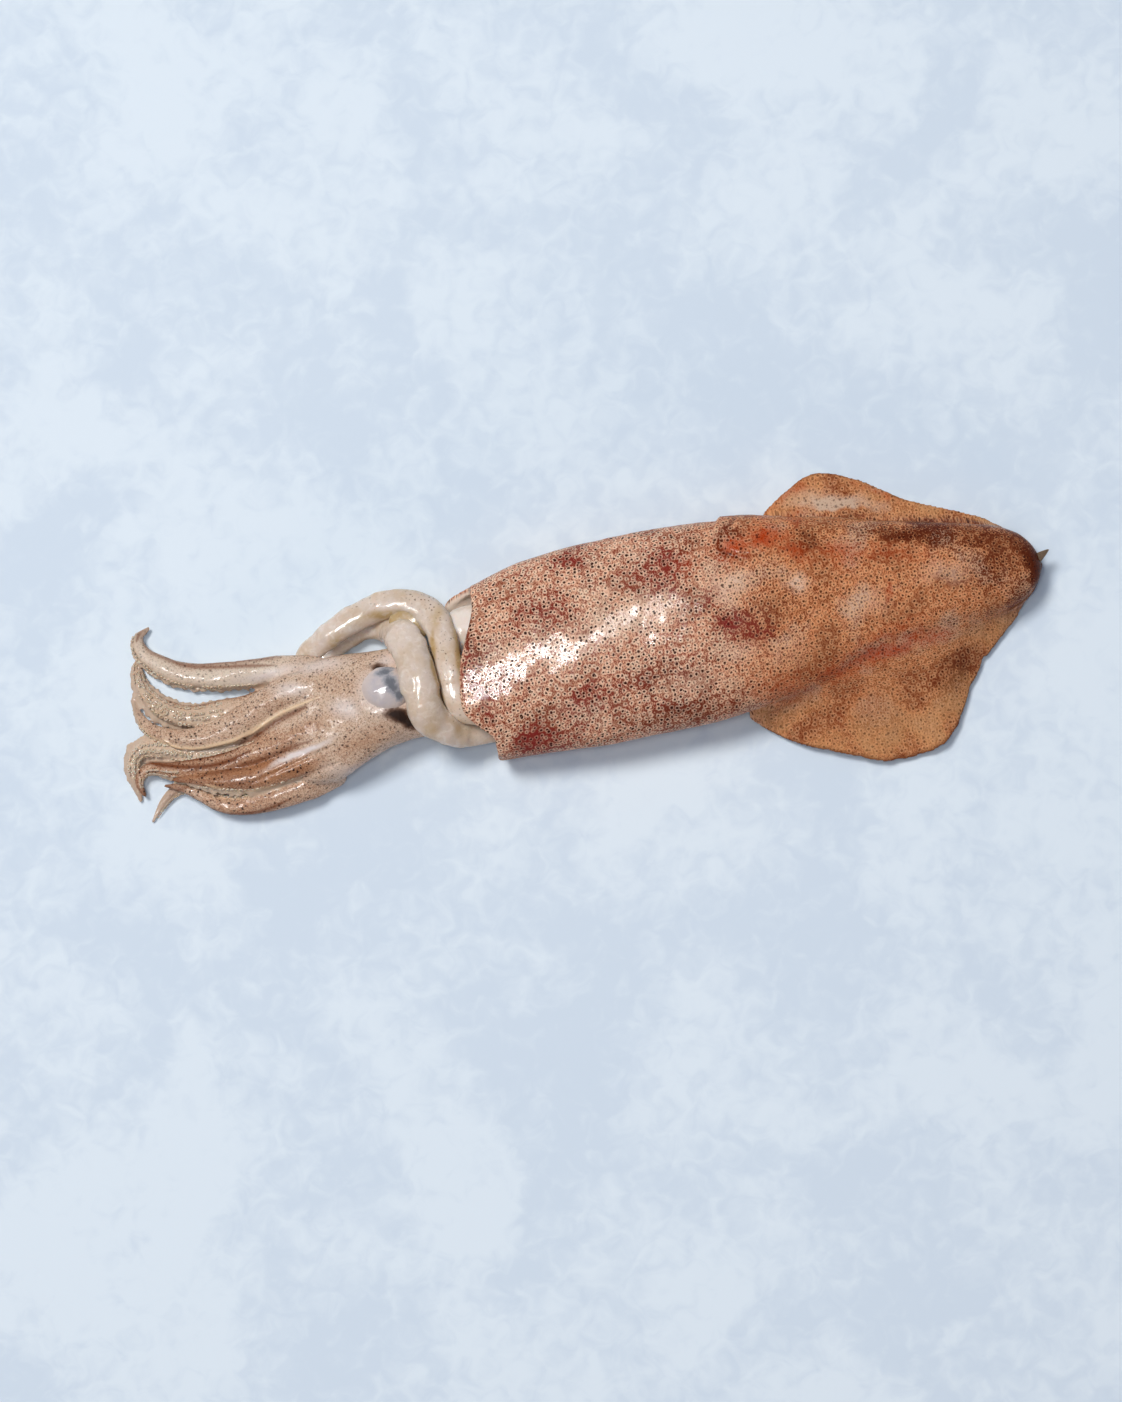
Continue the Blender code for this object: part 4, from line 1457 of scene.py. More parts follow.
    def tints(self, points: Array) -> dict[str, Array]:
        """Works out the masks of the head's own colours.

        Args:
            points: places in millimetres, one a row.

        Returns:
            "face" with milky (partly painted sheen), dark, ruddy and underside.
        """
        z = points[:, 2]
        upper = smoothstep(*self.face_height, z)
        milk = self.milks_and_sheen.over(points)
        dark = self.blacks.over(points)
        ruddy = self.ruddies.over(points)
        under = smoothstep(*self.under_height, z)
        return {"face": np.stack((milk * upper, dark * upper, ruddy, under), axis=1)}

    def build(self) -> Surface:
        """Fuses the head and arms, and gives their skin its relief and masks.

        Returns:
            The finished skin, with the values "bands" and "face".
        """
        arms = [*(self.arm_surface(name) for name in ARMS), *self.frill_surfaces()]
        skin = fused([self.head_surface(), *arms], self.grain)
        shape = joined(arms)
        raw = skin.points
        skin = skin.moved(skin.blurred(skin.points, 4, keep_size=True))
        soft = skin.blurred(skin.points, 10)
        crown = smoothstep(*self.softened, raw[:, 0])[:, None]
        skin = skin.moved(skin.points + crown * (soft - skin.points))
        skin = settled(skin, shape, self.thin_share * smoothstep(*self.kept_thin, raw[:, 0]))
        skin = skin.moved(skin.blurred(skin.points, 1, 0.4))
        skin.values = {name: skin.blurred(value, 3) for name, value in skin.values.items()}
        skin = self.relief(skin)
        upper = smoothstep(*self.band_height, skin.points[:, 2])
        for tone, seams in ((Tone.CREAM, self.creams), (Tone.BROWN, self.browns)):
            skin.values[tone.value] = np.maximum(skin.values[tone.value], upper * seamed(skin.points, seams))
        # Painted shade: the first groove is browned in step with its depth.
        groove_shade = self.groove_depth * upper * self.grooves[0].over(skin.points)
        skin.values[Tone.BROWN.value] = np.maximum(skin.values[Tone.BROWN.value], groove_shade)
        skin.values["bands"] = np.stack([skin.values.pop(tone.value) for tone in Tone], axis=1)
        skin.values.update(self.tints(skin.points))
        return skin

    def cup(self) -> tuple[Array, Array]:
        """One sucker of radius 1 facing up.

        Returns:
            Rings of points, and how deep in its mouth each ring is.
        """
        radius, height, depth = np.array(self.cup_profile)[:, :, None].transpose(1, 0, 2)
        turns = around(self.cup_sides)[None, :]
        flat = np.broadcast_to(height, (len(height), self.cup_sides))
        return np.stack((radius * np.cos(turns), radius * np.sin(turns), flat), axis=2), depth[:, 0]

    def suckers(self) -> Surface:
        """Every sucker, in double rows along the arms.

        Returns:
            One surface, with the value "mouth".
        """
        rings, depth = self.cup()
        dice = np.random.default_rng(self.cup_seed)
        parts = []
        for name, arm in ARMS.items():
            route = self.routes[name]
            for rows in arm.cups:
                share, side = rows.start, 1
                while share < rows.end:
                    angle = rows.turn + side * rows.apart / 2
                    place, out, along = route.place(share, angle, self.height_share)
                    half = float(np.interp(share, route.shares, route.halves))
                    radius = rows.radius * min(1.0, 0.28 + half / 4.2) * dice.uniform(*self.cup_sizes)
                    tilt = out + dice.uniform(-self.cup_lean, self.cup_lean, 3)
                    tilt /= np.linalg.norm(tilt)
                    across = np.cross(tilt, along)
                    across /= np.linalg.norm(across)
                    turn = np.stack((np.cross(across, tilt), across, tilt))
                    grid = (rings * radius) @ turn + place + out * self.touch * min(1.0, half / 1.5)
                    if place[2] > 0.6 and dice.random() > self.cups_missing:
                        parts.append(grid_surface(grid, {"mouth": depth[:, None]}))
                    share += radius * self.cup_spacing / route.lengths[-1]
                    side = -side
        return joined(parts)


@dataclass
class Tentacles:
    """The two long tentacles, looped back over the neck."""

    inner: tuple[Row, ...] = (
        (-84.4, 13.6, 3.6, 4.6), (-81.6, 16.4, 3.0, 5.0), (-78.2, 18.4, 2.8, 5.8),
        (-74.4, 20.4, 3.1, 6.8), (-69.6, 22.3, 3.4, 7.2), (-64.8, 22.6, 4.2, 7.6),
        (-60.4, 21.3, 7.2, 8.6), (-57.2, 18.0, 14.4, 9.6), (-54.8, 13.2, 19.2, 10.8),
        (-53.8, 7.6, 21.2, 11.2), (-53.4, 0.0, 21.8, 11.2), (-53.0, -6.0, 21.0, 10.8),
        (-50.8, -10.6, 18.8, 10.2), (-47.0, -13.6, 15.8, 9.4), (-42.0, -15.4, 11.8, 8.2),
        (-35.6, -16.2, 9.2, 6.8), (-27.0, -16.2, 8.6, 4.8),
    )
    outer: tuple[Row, ...] = (
        (-85.0, 12.0, 4.2, 4.0), (-88.2, 13.9, 3.0, 4.6), (-88.2, 16.9, 3.4, 5.2),
        (-84.2, 19.0, 5.0, 6.0), (-79.2, 21.8, 7.6, 7.0), (-74.0, 24.5, 8.2, 7.4),
        (-67.6, 26.6, 8.8, 7.6), (-61.0, 28.0, 10.8, 8.2), (-54.0, 27.6, 11.0, 8.6),
        (-48.6, 24.6, 12.0, 8.8), (-45.2, 19.6, 14.6, 8.4), (-43.9, 13.4, 17.2, 7.8),
        (-43.6, 6.6, 18.6, 7.4), (-43.4, 0.0, 19.0, 7.2), (-42.8, -4.8, 18.8, 7.0),
        (-41.0, -8.8, 17.8, 6.8), (-37.4, -10.4, 16.6, 6.4), (-32.6, -10.8, 15.6, 5.8),
        (-27.0, -10.8, 15.2, 4.2),
    )
    height_share: float = 0.68
    points: int = 36
    sides: int = 60
    step: float = 0.42
    grow: float = 0.5
    # Yellow patches of the translucent flesh, and also painted shade: yellow on the outer tentacle's side
    # that faces the gap between the two.
    yellows_and_shade: Blots = Blots(0.8, 161, (
        (-42, -14, 8, 7, 0, 0.5), (-40.2, 8, 1.6, 24, 0, 1.2), (-45, 22, 8, 3.2, 60, 0.9),
        (-60, 24.8, 12, 2.2, -8, 1.2), (-53, -14, 4, 5, 0, 0.4), (-47.5, 6, 1.5, 22, 0, 1.4),
        (-77, 19.4, 7, 2.0, 24, 0.6), (-68, 18.8, 8, 1.8, 5, 0.7),
    ))
    freckles: Blots = Blots(1.0, 181, (
        (-48, 27, 10, 6, -50, 1.4), (-43, 8, 5, 24, 0, 1.2), (-68, 30, 14, 3.5, 10, 0.6),
        (-43, -10, 5, 9, 0, 0.6), (-40, 16, 4, 8, 0, 1.0),
    ))

    def routes(self) -> list[Route]:
        """The middle lines of both.

        Returns:
            The inner route and the outer one.
        """
        made = []
        for rows in (self.inner, self.outer):
            table = np.array(rows)
            table[:, 3] /= 2
            fine = through(table, self.points)
            made.append(Route(fine[:, :3], fine[:, 3]))
        return made

    def surface(self, route: Route, seed: int) -> Surface:
        """One tentacle with its wrinkles and colour masks.

        Args:
            route: its middle line.
            seed: chooses its wrinkles.

        Returns:
            The closed surface, with the values "yellow" and "freckles".
        """
        fine = route.denser(self.step)
        fine.halves = fine.halves + self.grow
        flat = fine.tube(self.sides, self.height_share).reshape(-1, 3)
        along = np.repeat(fine.lengths, self.sides)
        round_it = np.tile(3 * np.sin(around(self.sides)), len(fine.points))
        rolled = np.column_stack((along, round_it, np.full(len(flat), seed)))
        ripple = Wrinkle(0.09, 5.0, seed).over(flat)
        ripple += Wrinkle(0.045, 1.9, seed + 1, (1.0, 0.45, 1.0)).over(rolled)
        ripple += Wrinkle(0.03, 1.6, seed + 2, (0.3, 1.6, 1.0)).over(rolled)
        grid = fine.tube(self.sides, self.height_share, ripple.reshape(-1, self.sides))
        grid[:, :, 2] = np.maximum(grid[:, :, 2], 0.1)
        yellow = self.yellows_and_shade.over(flat).reshape(grid.shape[:2])
        freckles = self.freckles.over(flat).reshape(grid.shape[:2])
        return grid_surface(grid, {"yellow": yellow, "freckles": freckles})


@dataclass
class Pale:
    """The smooth pale parts at the collar: the funnel, and the yellow film between the tentacles, which is
    partly painted shade in the gap between them.
    """

    funnel: tuple[Row, ...] = (
        (-18.0, 16.4, 7.4, 5.4, 16.6), (-34.0, 16.4, 7.4, 5.2, 16.6), (-39.0, 16.2, 6.9, 5.6, 15.8),
        (-42.4, 15.8, 5.6, 6.4, 14.2),
    )
    mouth_share: float = 0.5
    mouth_depth: float = 5.0
    lip: float = 0.8
    sides: int = 72
    film_middle: Row = (-52.6, 21.8, 12.6)
    film_radii: Row = (7.4, 6.0, 1.7)
    film_freckles: float = 0.3

    def funnel_surface(self) -> Surface:
        """The funnel with its mouth.

        Returns:
            The closed surface, with the values "yellow" and "freckles", both 0.
        """
        body = Stations(self.funnel)
        turns = around(self.sides)
        _, half_width, low, high = body.at(np.array([body.start]))[0]
        wall = self.mouth_share * min(half_width, (high - low) / 2)
        rings = [section_ring(body, x, turns) for x in np.linspace(body.end, body.start, 60)]
        for angle in np.linspace(0.1, 0.9, 7) * math.pi:
            lip = section_ring(body, body.start, turns, wall / 2 * (1 - math.cos(angle)))
            lip[:, 0] -= self.lip * math.sin(angle)
            rings.append(lip)
        for depth in np.linspace(0, self.mouth_depth, 8):
            rings.append(section_ring(body, body.start, turns, wall) + np.array((depth, 0.0, 0.0)))
        return grid_surface(np.array(rings), {"yellow": 0.0, "freckles": 0.0})

    def film_surface(self) -> Surface:
        """The thin yellow film, a flat pillow whose rim is tucked under the tentacles; it is partly painted
        shade that fills the gap between them.

        Returns:
            The closed surface, with the values "yellow" and "freckles".
        """
        grid = pillow(self.film_middle, self.film_radii, 24, 48, 0.03)
        return grid_surface(grid, {"yellow": 1.0, "freckles": self.film_freckles})


@dataclass
class Eye:
    """One eye: a milky dome with a blurred pupil, pressed flat on the floor level under it.

    Its rim starts and ends at shares of its radius.
    """

    middle: Row
    radii: Row
    floor: float
    pupils: Blots = Blots(0.8, 201, ())
    wrinkles: tuple[Wrinkle, ...] = (Wrinkle(0.16, 3.4, 211), Wrinkle(0.07, 1.5, 212))
    rim: Span = (0.46, 0.84)

    def surface(self) -> Surface:
        """The eyeball.

        Returns:
            The closed surface, with the values "pupil" and "rim".
        """
        grid = pillow(self.middle, self.radii, 56, 72, 0.015)
        grid[:, :, 2] = np.maximum(grid[:, :, 2], self.floor)
        flat = grid.reshape(-1, 3)
        way = (flat - np.array(self.middle)) / np.array(self.radii)
        rise = wrinkled(flat, self.wrinkles)
        flat = flat + way * (rise * smoothstep(0.0, 3.0, flat[:, 2] - self.floor))[:, None]
        pupil = self.pupils.over(flat) * smoothstep(self.middle[2] - 2, self.middle[2] + 2, flat[:, 2])
        far = np.hypot(flat[:, 0] - self.middle[0], flat[:, 1] - self.middle[1]) / self.radii[0]
        values = {"pupil": pupil, "rim": smoothstep(*self.rim, far)}
        values = {name: value.reshape(grid.shape[:2]) for name, value in values.items()}
        return grid_surface(flat.reshape(grid.shape), values)


@dataclass
class PenTip:
    """The horny end of the pen, a small ridged blade."""

    root: Row = (142.8, 6.4, 8.6)
    tip: Row = (147.8, 9.2, 9.6)
    radius: float = 2.0
    tip_radius: float = 0.12
    height_share: float = 0.62
    ridge: float = 0.08
    rings: int = 40
    sides: int = 36

    def surface(self) -> Surface:
        """The blade as a flattened cone with three ridges.

        Returns:
            The closed surface.
        """
        share = np.linspace(0, 1, self.rings)
        points = np.array(self.root) + share[:, None] * (np.array(self.tip) - np.array(self.root))
        halves = self.tip_radius + (self.radius - self.tip_radius) * (1 - share) ** 0.8
        ridges = self.ridge * np.cos(3 * around(self.sides))[None, :] * np.ones((self.rings, 1))
        return grid_surface(Route(points, halves).tube(self.sides, self.height_share, ridges))


# ---------------------------------------------------------------- materials


Shade = tuple[int, int, int]


def linear(shade: Shade) -> tuple[float, float, float, float]:
    """A colour given as display values from 0 to 255, as linear values."""
    parts = [value / 255 for value in shade]
    return (*(p / 12.92 if p <= 0.04045 else ((p + 0.055) / 1.055) ** 2.4 for p in parts), 1.0)


class Sheet:
    """A node tree, with short ways to add nodes to it and join them."""

    def __init__(self, tree: bpy.types.NodeTree) -> None:
        """Starts on a node tree."""
        self.tree = tree

    def put(self, target: Socket, value: object) -> None:
        """Joins an output to a socket, or sets the socket's own value.

        Args:
            target: the socket.
            value: the output or the value.
        """
        if isinstance(value, bpy.types.NodeSocket):
            self.tree.links.new(value, target)
        else:
            target.default_value = value

    def add(self, kind: str, settings: dict[str, object] | None = None, **inputs: object) -> bpy.types.Node:
        """Adds a node.

        Args:
            kind: the node's type, without "ShaderNode".
            settings: the node's own properties.
            inputs: values or outputs for its inputs; an underscore in a name stands for a space.

        Returns:
            The node.
        """
        node = self.tree.nodes.new("ShaderNode" + kind)
        for name, value in (settings or {}).items():
            setattr(node, name, value)
        for name, value in inputs.items():
            self.put(node.inputs[name.replace("_", " ")], value)
        return node

    def fed(self, node: bpy.types.Node, values: Sequence[object]) -> Socket:
        """Feeds a node's inputs in their order.

        Args:
            node: the node.
            values: values or outputs for its inputs.

        Returns:
            The node's first output.
        """
        for number, value in enumerate(values):
            self.put(node.inputs[number], value)
        return node.outputs[0]

    def math(self, operation: str, *values: object, clamp: bool = False) -> Socket:
        """A Math node's result, which clamp keeps between 0 and 1."""
        return self.fed(self.add("Math", {"operation": operation, "use_clamp": clamp}), values)

    def vector(self, operation: str, *values: object) -> Socket:
        """A Vector Math node's result."""
        return self.fed(self.add("VectorMath", {"operation": operation}), values)

    def chain(self, operation: str, values: Sequence[object], clamp: bool) -> Socket:
        """Joins values one after another by one operation.

        Args:
            operation: what joins them.
            values: values or outputs.
            clamp: keeps the last result between 0 and 1.

        Returns:
            The last result.
        """
        result = values[0]
        for value in values[1:-1]:
            result = self.math(operation, result, value)
        return self.math(operation, result, values[-1], clamp=clamp)

    def times(self, *values: object, clamp: bool = False) -> Socket:
        """The product of the values."""
        return self.chain("MULTIPLY", values, clamp)

    def plus(self, *values: object, clamp: bool = False) -> Socket:
        """The sum of the values."""
        return self.chain("ADD", values, clamp)

    def most(self, *values: object) -> Socket:
        """The largest of the values."""
        return self.chain("MAXIMUM", values, False)

    def less(self, first: object, second: object, clamp: bool = False) -> Socket:
        """The first value less the second."""
        return self.math("SUBTRACT", first, second, clamp=clamp)

    def line(self, value: object, slope: object, start: object, clamp: bool = False) -> Socket:
        """value times slope, plus start."""
        return self.math("MULTIPLY_ADD", value, slope, start, clamp=clamp)

    def step(self, value: object, low: object, high: object, top: float = 1.0) -> Socket:
        """An eased step.

        Args:
            value: what it follows.
            low: where it starts.
            high: where it ends.
            top: what it reaches there.

        Returns:
            The step's height.
        """
        ends = {"From_Min": low, "From_Max": high, "To_Max": top}
        node = self.add("MapRange", {"interpolation_type": "SMOOTHSTEP"}, Value=value, **ends)
        return node.outputs["Result"]

    def mix(self, share: object, first: object, second: object) -> Socket:
        """Mixes two shades or colours.

        Args:
            share: how much of the second shows.
            first: the first.
            second: the second.

        Returns:
            The mixed colour.
        """
        node = self.add("Mix", {"data_type": "RGBA"})
        for number, value in ((0, share), (6, first), (7, second)):
            self.put(node.inputs[number], linear(value) if isinstance(value, tuple) else value)
        return node.outputs[2]

    def layered(self, colour: Socket, *layers: tuple[object, object]) -> Socket:
        """Lays shades over a colour, one after another.

        Args:
            colour: what lies under them.
            layers: the share that each covers, and its shade or colour.

        Returns:
            The colour on top.
        """
        for share, shade in layers:
            colour = self.mix(share, colour, shade)
        return colour

    def noise(self, vector: object, size: float, detail: float = 2.0, distortion: float = 0.0) -> Socket:
        """Noise from 0 to 1 with features of a size in the vector's units."""
        settings = {"Scale": 1.0 / size, "Detail": detail, "Distortion": distortion}
        return self.add("TexNoise", None, Vector=vector, **settings).outputs[0]

    def scaled(self, vector: object, factors: Row) -> Socket:
        """A vector times factors."""
        return self.vector("MULTIPLY", vector, factors)

    def value(self, name: str, output: str = "Fac") -> Socket:
        """A mesh's named values."""
        return self.add("Attribute", {"attribute_name": name}).outputs[output]

    def parts(self, name: str) -> tuple[Socket, Socket, Socket, Socket]:
        """The four masks that a mesh's colour values hold.

        Args:
            name: the values' name.

        Returns:
            One output for each mask.
        """
        node = self.add("Attribute", {"attribute_name": name})
        split = self.add("SeparateColor", None, Color=node.outputs["Color"])
        return (*split.outputs[:3], node.outputs["Alpha"])

    def millimetres(self) -> Socket:
        """The place on the object in millimetres."""
        return self.scaled(self.add("TexCoord").outputs["Object"], (1 / MM, 1 / MM, 1 / MM))

    def group(self, tree: bpy.types.NodeTree, **inputs: object) -> bpy.types.Node:
        """Places a shared group."""
        return self.add("Group", {"node_tree": tree}, **inputs)

    def surface(self, shader: bpy.types.Node) -> None:
        """Makes a shader the material's surface."""
        self.put(self.add("OutputMaterial").inputs["Surface"], shader.outputs[0])


def shared_group(
    name: str, inputs: Sequence[str], outputs: Sequence[str], fill: Callable[[Sheet, dict[str, Socket]], dict]
) -> bpy.types.NodeTree:
    """A node group, built once.

    Args:
        name: the group's name.
        inputs: the names of its inputs, which are numbers apart from the one called Place.
        outputs: the names of its outputs, which are numbers.
        fill: adds the nodes, given the sheet and the inputs, and returns what goes to each output.

    Returns:
        The group's node tree.
    """
    if name in bpy.data.node_groups:
        return bpy.data.node_groups[name]
    tree = bpy.data.node_groups.new(name, "ShaderNodeTree")
    for way, labels in (("INPUT", inputs), ("OUTPUT", outputs)):
        for label in labels:
            kind = "NodeSocketVector" if label == "Place" else "NodeSocketFloat"
            tree.interface.new_socket(label, in_out=way, socket_type=kind)
    start, end = tree.nodes.new("NodeGroupInput"), tree.nodes.new("NodeGroupOutput")
    sheet = Sheet(tree)
    for label, value in fill(sheet, {label: start.outputs[label] for label in inputs}).items():
        sheet.put(end.inputs[label], value)
    return tree


def spot_group(dimensions: str) -> bpy.types.NodeTree:
    """Pigment spots of uneven size, each in a pale ring.

    Args:
        dimensions: 2D for a flat place or 3D for a solid one.

    Returns:
        The group.
    """

    def fill(sheet: Sheet, sockets: dict[str, Socket]) -> dict[str, Socket]:
        """Adds the group's nodes.

        Args:
            sheet: the group's sheet.
            sockets: its inputs.

        Returns:
            What goes to each output.
        """
        place, spacing = sockets["Place"], sockets["Spacing"]
        wobble = sheet.add("TexNoise", None, Vector=place, Scale=1.4, Detail=1.0).outputs["Color"]
        wobble = sheet.vector("SUBTRACT", wobble, (0.5, 0.5, 0.5))
        bent = sheet.vector("MULTIPLY_ADD", wobble, (0.7, 0.7, 0.7), place)
        cells = sheet.add("TexVoronoi", {"voronoi_dimensions": dimensions}, Vector=bent, Randomness=0.82)
        sheet.put(cells.inputs["Scale"], sheet.math("DIVIDE", 1.0, spacing))
        far = sheet.times(cells.outputs["Distance"], spacing)
        uneven = sheet.add("SeparateColor", None, Color=cells.outputs["Color"]).outputs[0]
        radius = sheet.times(sockets["Radius"], sheet.line(uneven, 0.75, 0.55))
        spot = sheet.step(far, sheet.plus(radius, SPOT_EDGE), sheet.less(radius, SPOT_EDGE))
        ring = sheet.step(far, sheet.plus(sockets["Ring"], 0.3), sheet.less(sockets["Ring"], 0.1))
        return {"Spot": spot, "Ring": sheet.less(ring, spot, clamp=True)}

    name = f"pigment_spots_{dimensions}"
    return shared_group(name, ("Place", "Spacing", "Radius", "Ring"), ("Spot", "Ring"), fill)


def mottle_group() -> bpy.types.NodeTree:
    """Short wriggling flecks that cover more of the skin as Cover rises from 0 to 1.

    Returns:
        The group.
    """

    def fill(sheet: Sheet, sockets: dict[str, Socket]) -> dict[str, Socket]:
        """Adds the group's nodes.

        Args:
            sheet: the group's sheet.
            sockets: its inputs.

        Returns:
            What goes to each output.
        """
        place, per_size = sockets["Place"], sheet.math("DIVIDE", 1.0, sockets["Size"])
        flecks = sheet.add("TexNoise", None, Vector=place, Scale=per_size, Detail=1.6, Distortion=0.9)
        cover = sheet.plus(sockets["Cover"], sheet.line(sheet.noise(place, 6.0), 0.5, -0.25))
        edge = sheet.line(cover, -0.30, 0.65)
        low, high = sheet.less(edge, FLECK_EDGE), sheet.plus(edge, FLECK_EDGE)
        return {"Flecks": sheet.step(flecks.outputs[0], low, high)}

    return shared_group("skin_mottle", ("Place", "Size", "Cover"), ("Flecks",), fill)


def wet_group() -> bpy.types.NodeTree:
    """The fine unevenness of wet skin: a height in millimetres, a roughness and where its film lies.

    Returns:
        The group.
    """

    def fill(sheet: Sheet, sockets: dict[str, Socket]) -> dict[str, Socket]:
        """Adds the group's nodes.

        Args:
            sheet: the group's sheet.
            sockets: its inputs.

        Returns:
            What goes to each output.
        """
        place = sockets["Place"]
        fine = sheet.times(sheet.noise(place, 0.9, 2.0, 0.3), 0.04)
        height = sheet.line(sheet.noise(place, 3.0, 2.0, 0.5), 0.13, fine)
        patches = sheet.step(sheet.noise(place, 3.5, 4.0, 0.5), 0.35, 0.7, 0.3)
        rough = sheet.plus(patches, sheet.less(sockets["Rough"], 0.12))
        finer = sheet.add("VectorMath", {"operation": "SCALE"}, Scale=sockets["Fineness"])
        sheet.put(finer.inputs[0], place)
        film = sheet.step(sheet.noise(finer.outputs[0], 2.4, 3.0, 0.8), 0.42, 0.5)
        return {"Height": sheet.times(height, sockets["Relief"]), "Roughness": rough, "Film": film}

    outputs = ("Height", "Roughness", "Film")
    return shared_group("wet_skin", ("Place", "Relief", "Rough", "Fineness"), outputs, fill)


@dataclass(frozen=True)
class Spots:
    """Pigment spots: flat (2D) or solid (3D), spacing, radius, their rings' radius, and how drawn out."""

    dimensions: str
    spacing: float
    radius: float
    ring: float
    stretch: Row = ()

    def on(self, sheet: Sheet, place: Socket) -> bpy.types.Node:
        """Places the group.

        Args:
            sheet: the material's sheet.
            place: the skin's place.

        Returns:
            The group's node, with the outputs Spot and Ring.
        """
        place = sheet.scaled(place, self.stretch) if self.stretch else place
        sizes = {"Spacing": self.spacing, "Radius": self.radius, "Ring": self.ring}
        return sheet.group(spot_group(self.dimensions), Place=place, **sizes)


@dataclass(frozen=True)
class Wetness:
    """How a flesh shines and lets light in: the shader's own values, and then the wet_skin group's."""

    coat: float = 0.1
    coat_roughness: float = 0.12
    specular: float = 0.22
    scatter: float = 0.15
    depth: float = 0.6
    scatter_radius: Row = (1.0, 0.45, 0.28)
    relief: float = 1.0
    rough: float = 0.3
    fineness: float = 1.0
    dry_share: float = 0.15

    def group(self, sheet: Sheet, place: Socket) -> bpy.types.Node:
        """The placed wet_skin group."""
        sizes = {"Relief": self.relief, "Rough": self.rough, "Fineness": self.fineness}
        return sheet.group(wet_group(), Place=place, **sizes)

    def finish(
        self, sheet: Sheet, wet: bpy.types.Node, colour: Socket, height: object = None, bare: object = 1.0
    ) -> None:
        """Adds the shader.

        Args:
            sheet: the material's sheet.
            wet: the placed wet_skin group.
            colour: the flesh's colour.
            height: its relief in millimetres, if not the group's own.
            bare: the share of the coat that lies at each place.
        """
        height = wet.outputs["Height"] if height is None else height
        bump = sheet.add("Bump", None, Strength=1.0, Distance=MM, Height=height).outputs[0]
        film = sheet.line(wet.outputs["Film"], (1 - self.dry_share) * self.coat, self.dry_share * self.coat)
        mapped = {"Roughness": wet.outputs["Roughness"], "Coat_Weight": sheet.times(film, bare)}
        shader = sheet.add("BsdfPrincipled", None, Base_Color=colour, Normal=bump, **mapped)
        for name, value in (
            ("Coat Roughness", self.coat_roughness), ("IOR", 1.4), ("Specular IOR Level", self.specular),
            ("Subsurface Weight", self.scatter), ("Subsurface Radius", self.scatter_radius),
            ("Subsurface Scale", self.depth * MM),
        ):
            shader.inputs[name].default_value = value
        sheet.surface(shader)


def new_material(name: str) -> tuple[bpy.types.Material, Sheet]:
    """Makes an empty material.

    Args:
        name: its name.

    Returns:
        The material and the sheet of its nodes.
    """
    material = bpy.data.materials.new(name)
    material.use_nodes = True
    material.node_tree.nodes.clear()
    return material, Sheet(material.node_tree)


@dataclass(frozen=True)
class Finish:
    """What every finish has: its material's name and its wetness."""

    name: str
    wetness: Wetness

    def paint(self, sheet: Sheet, place: Socket, wet: bpy.types.Node) -> dict[str, Socket]:
        """Adds the finish's own nodes, from what it needs of these.

        Args:
            sheet: the material's sheet.
            place: the place on the object in millimetres.
            wet: the placed wet_skin group.

        Returns:
            The colour, and where they are mapped the height and the bare share of the coat.
        """
        raise NotImplementedError

    def material(self) -> bpy.types.Material:
        """Builds the material.

        Returns:
            The material.
        """
        material, sheet = new_material(self.name)
        place = sheet.millimetres()
        wet = self.wetness.group(sheet, place)
        self.wetness.finish(sheet, wet, **self.paint(sheet, place, wet))
        return material


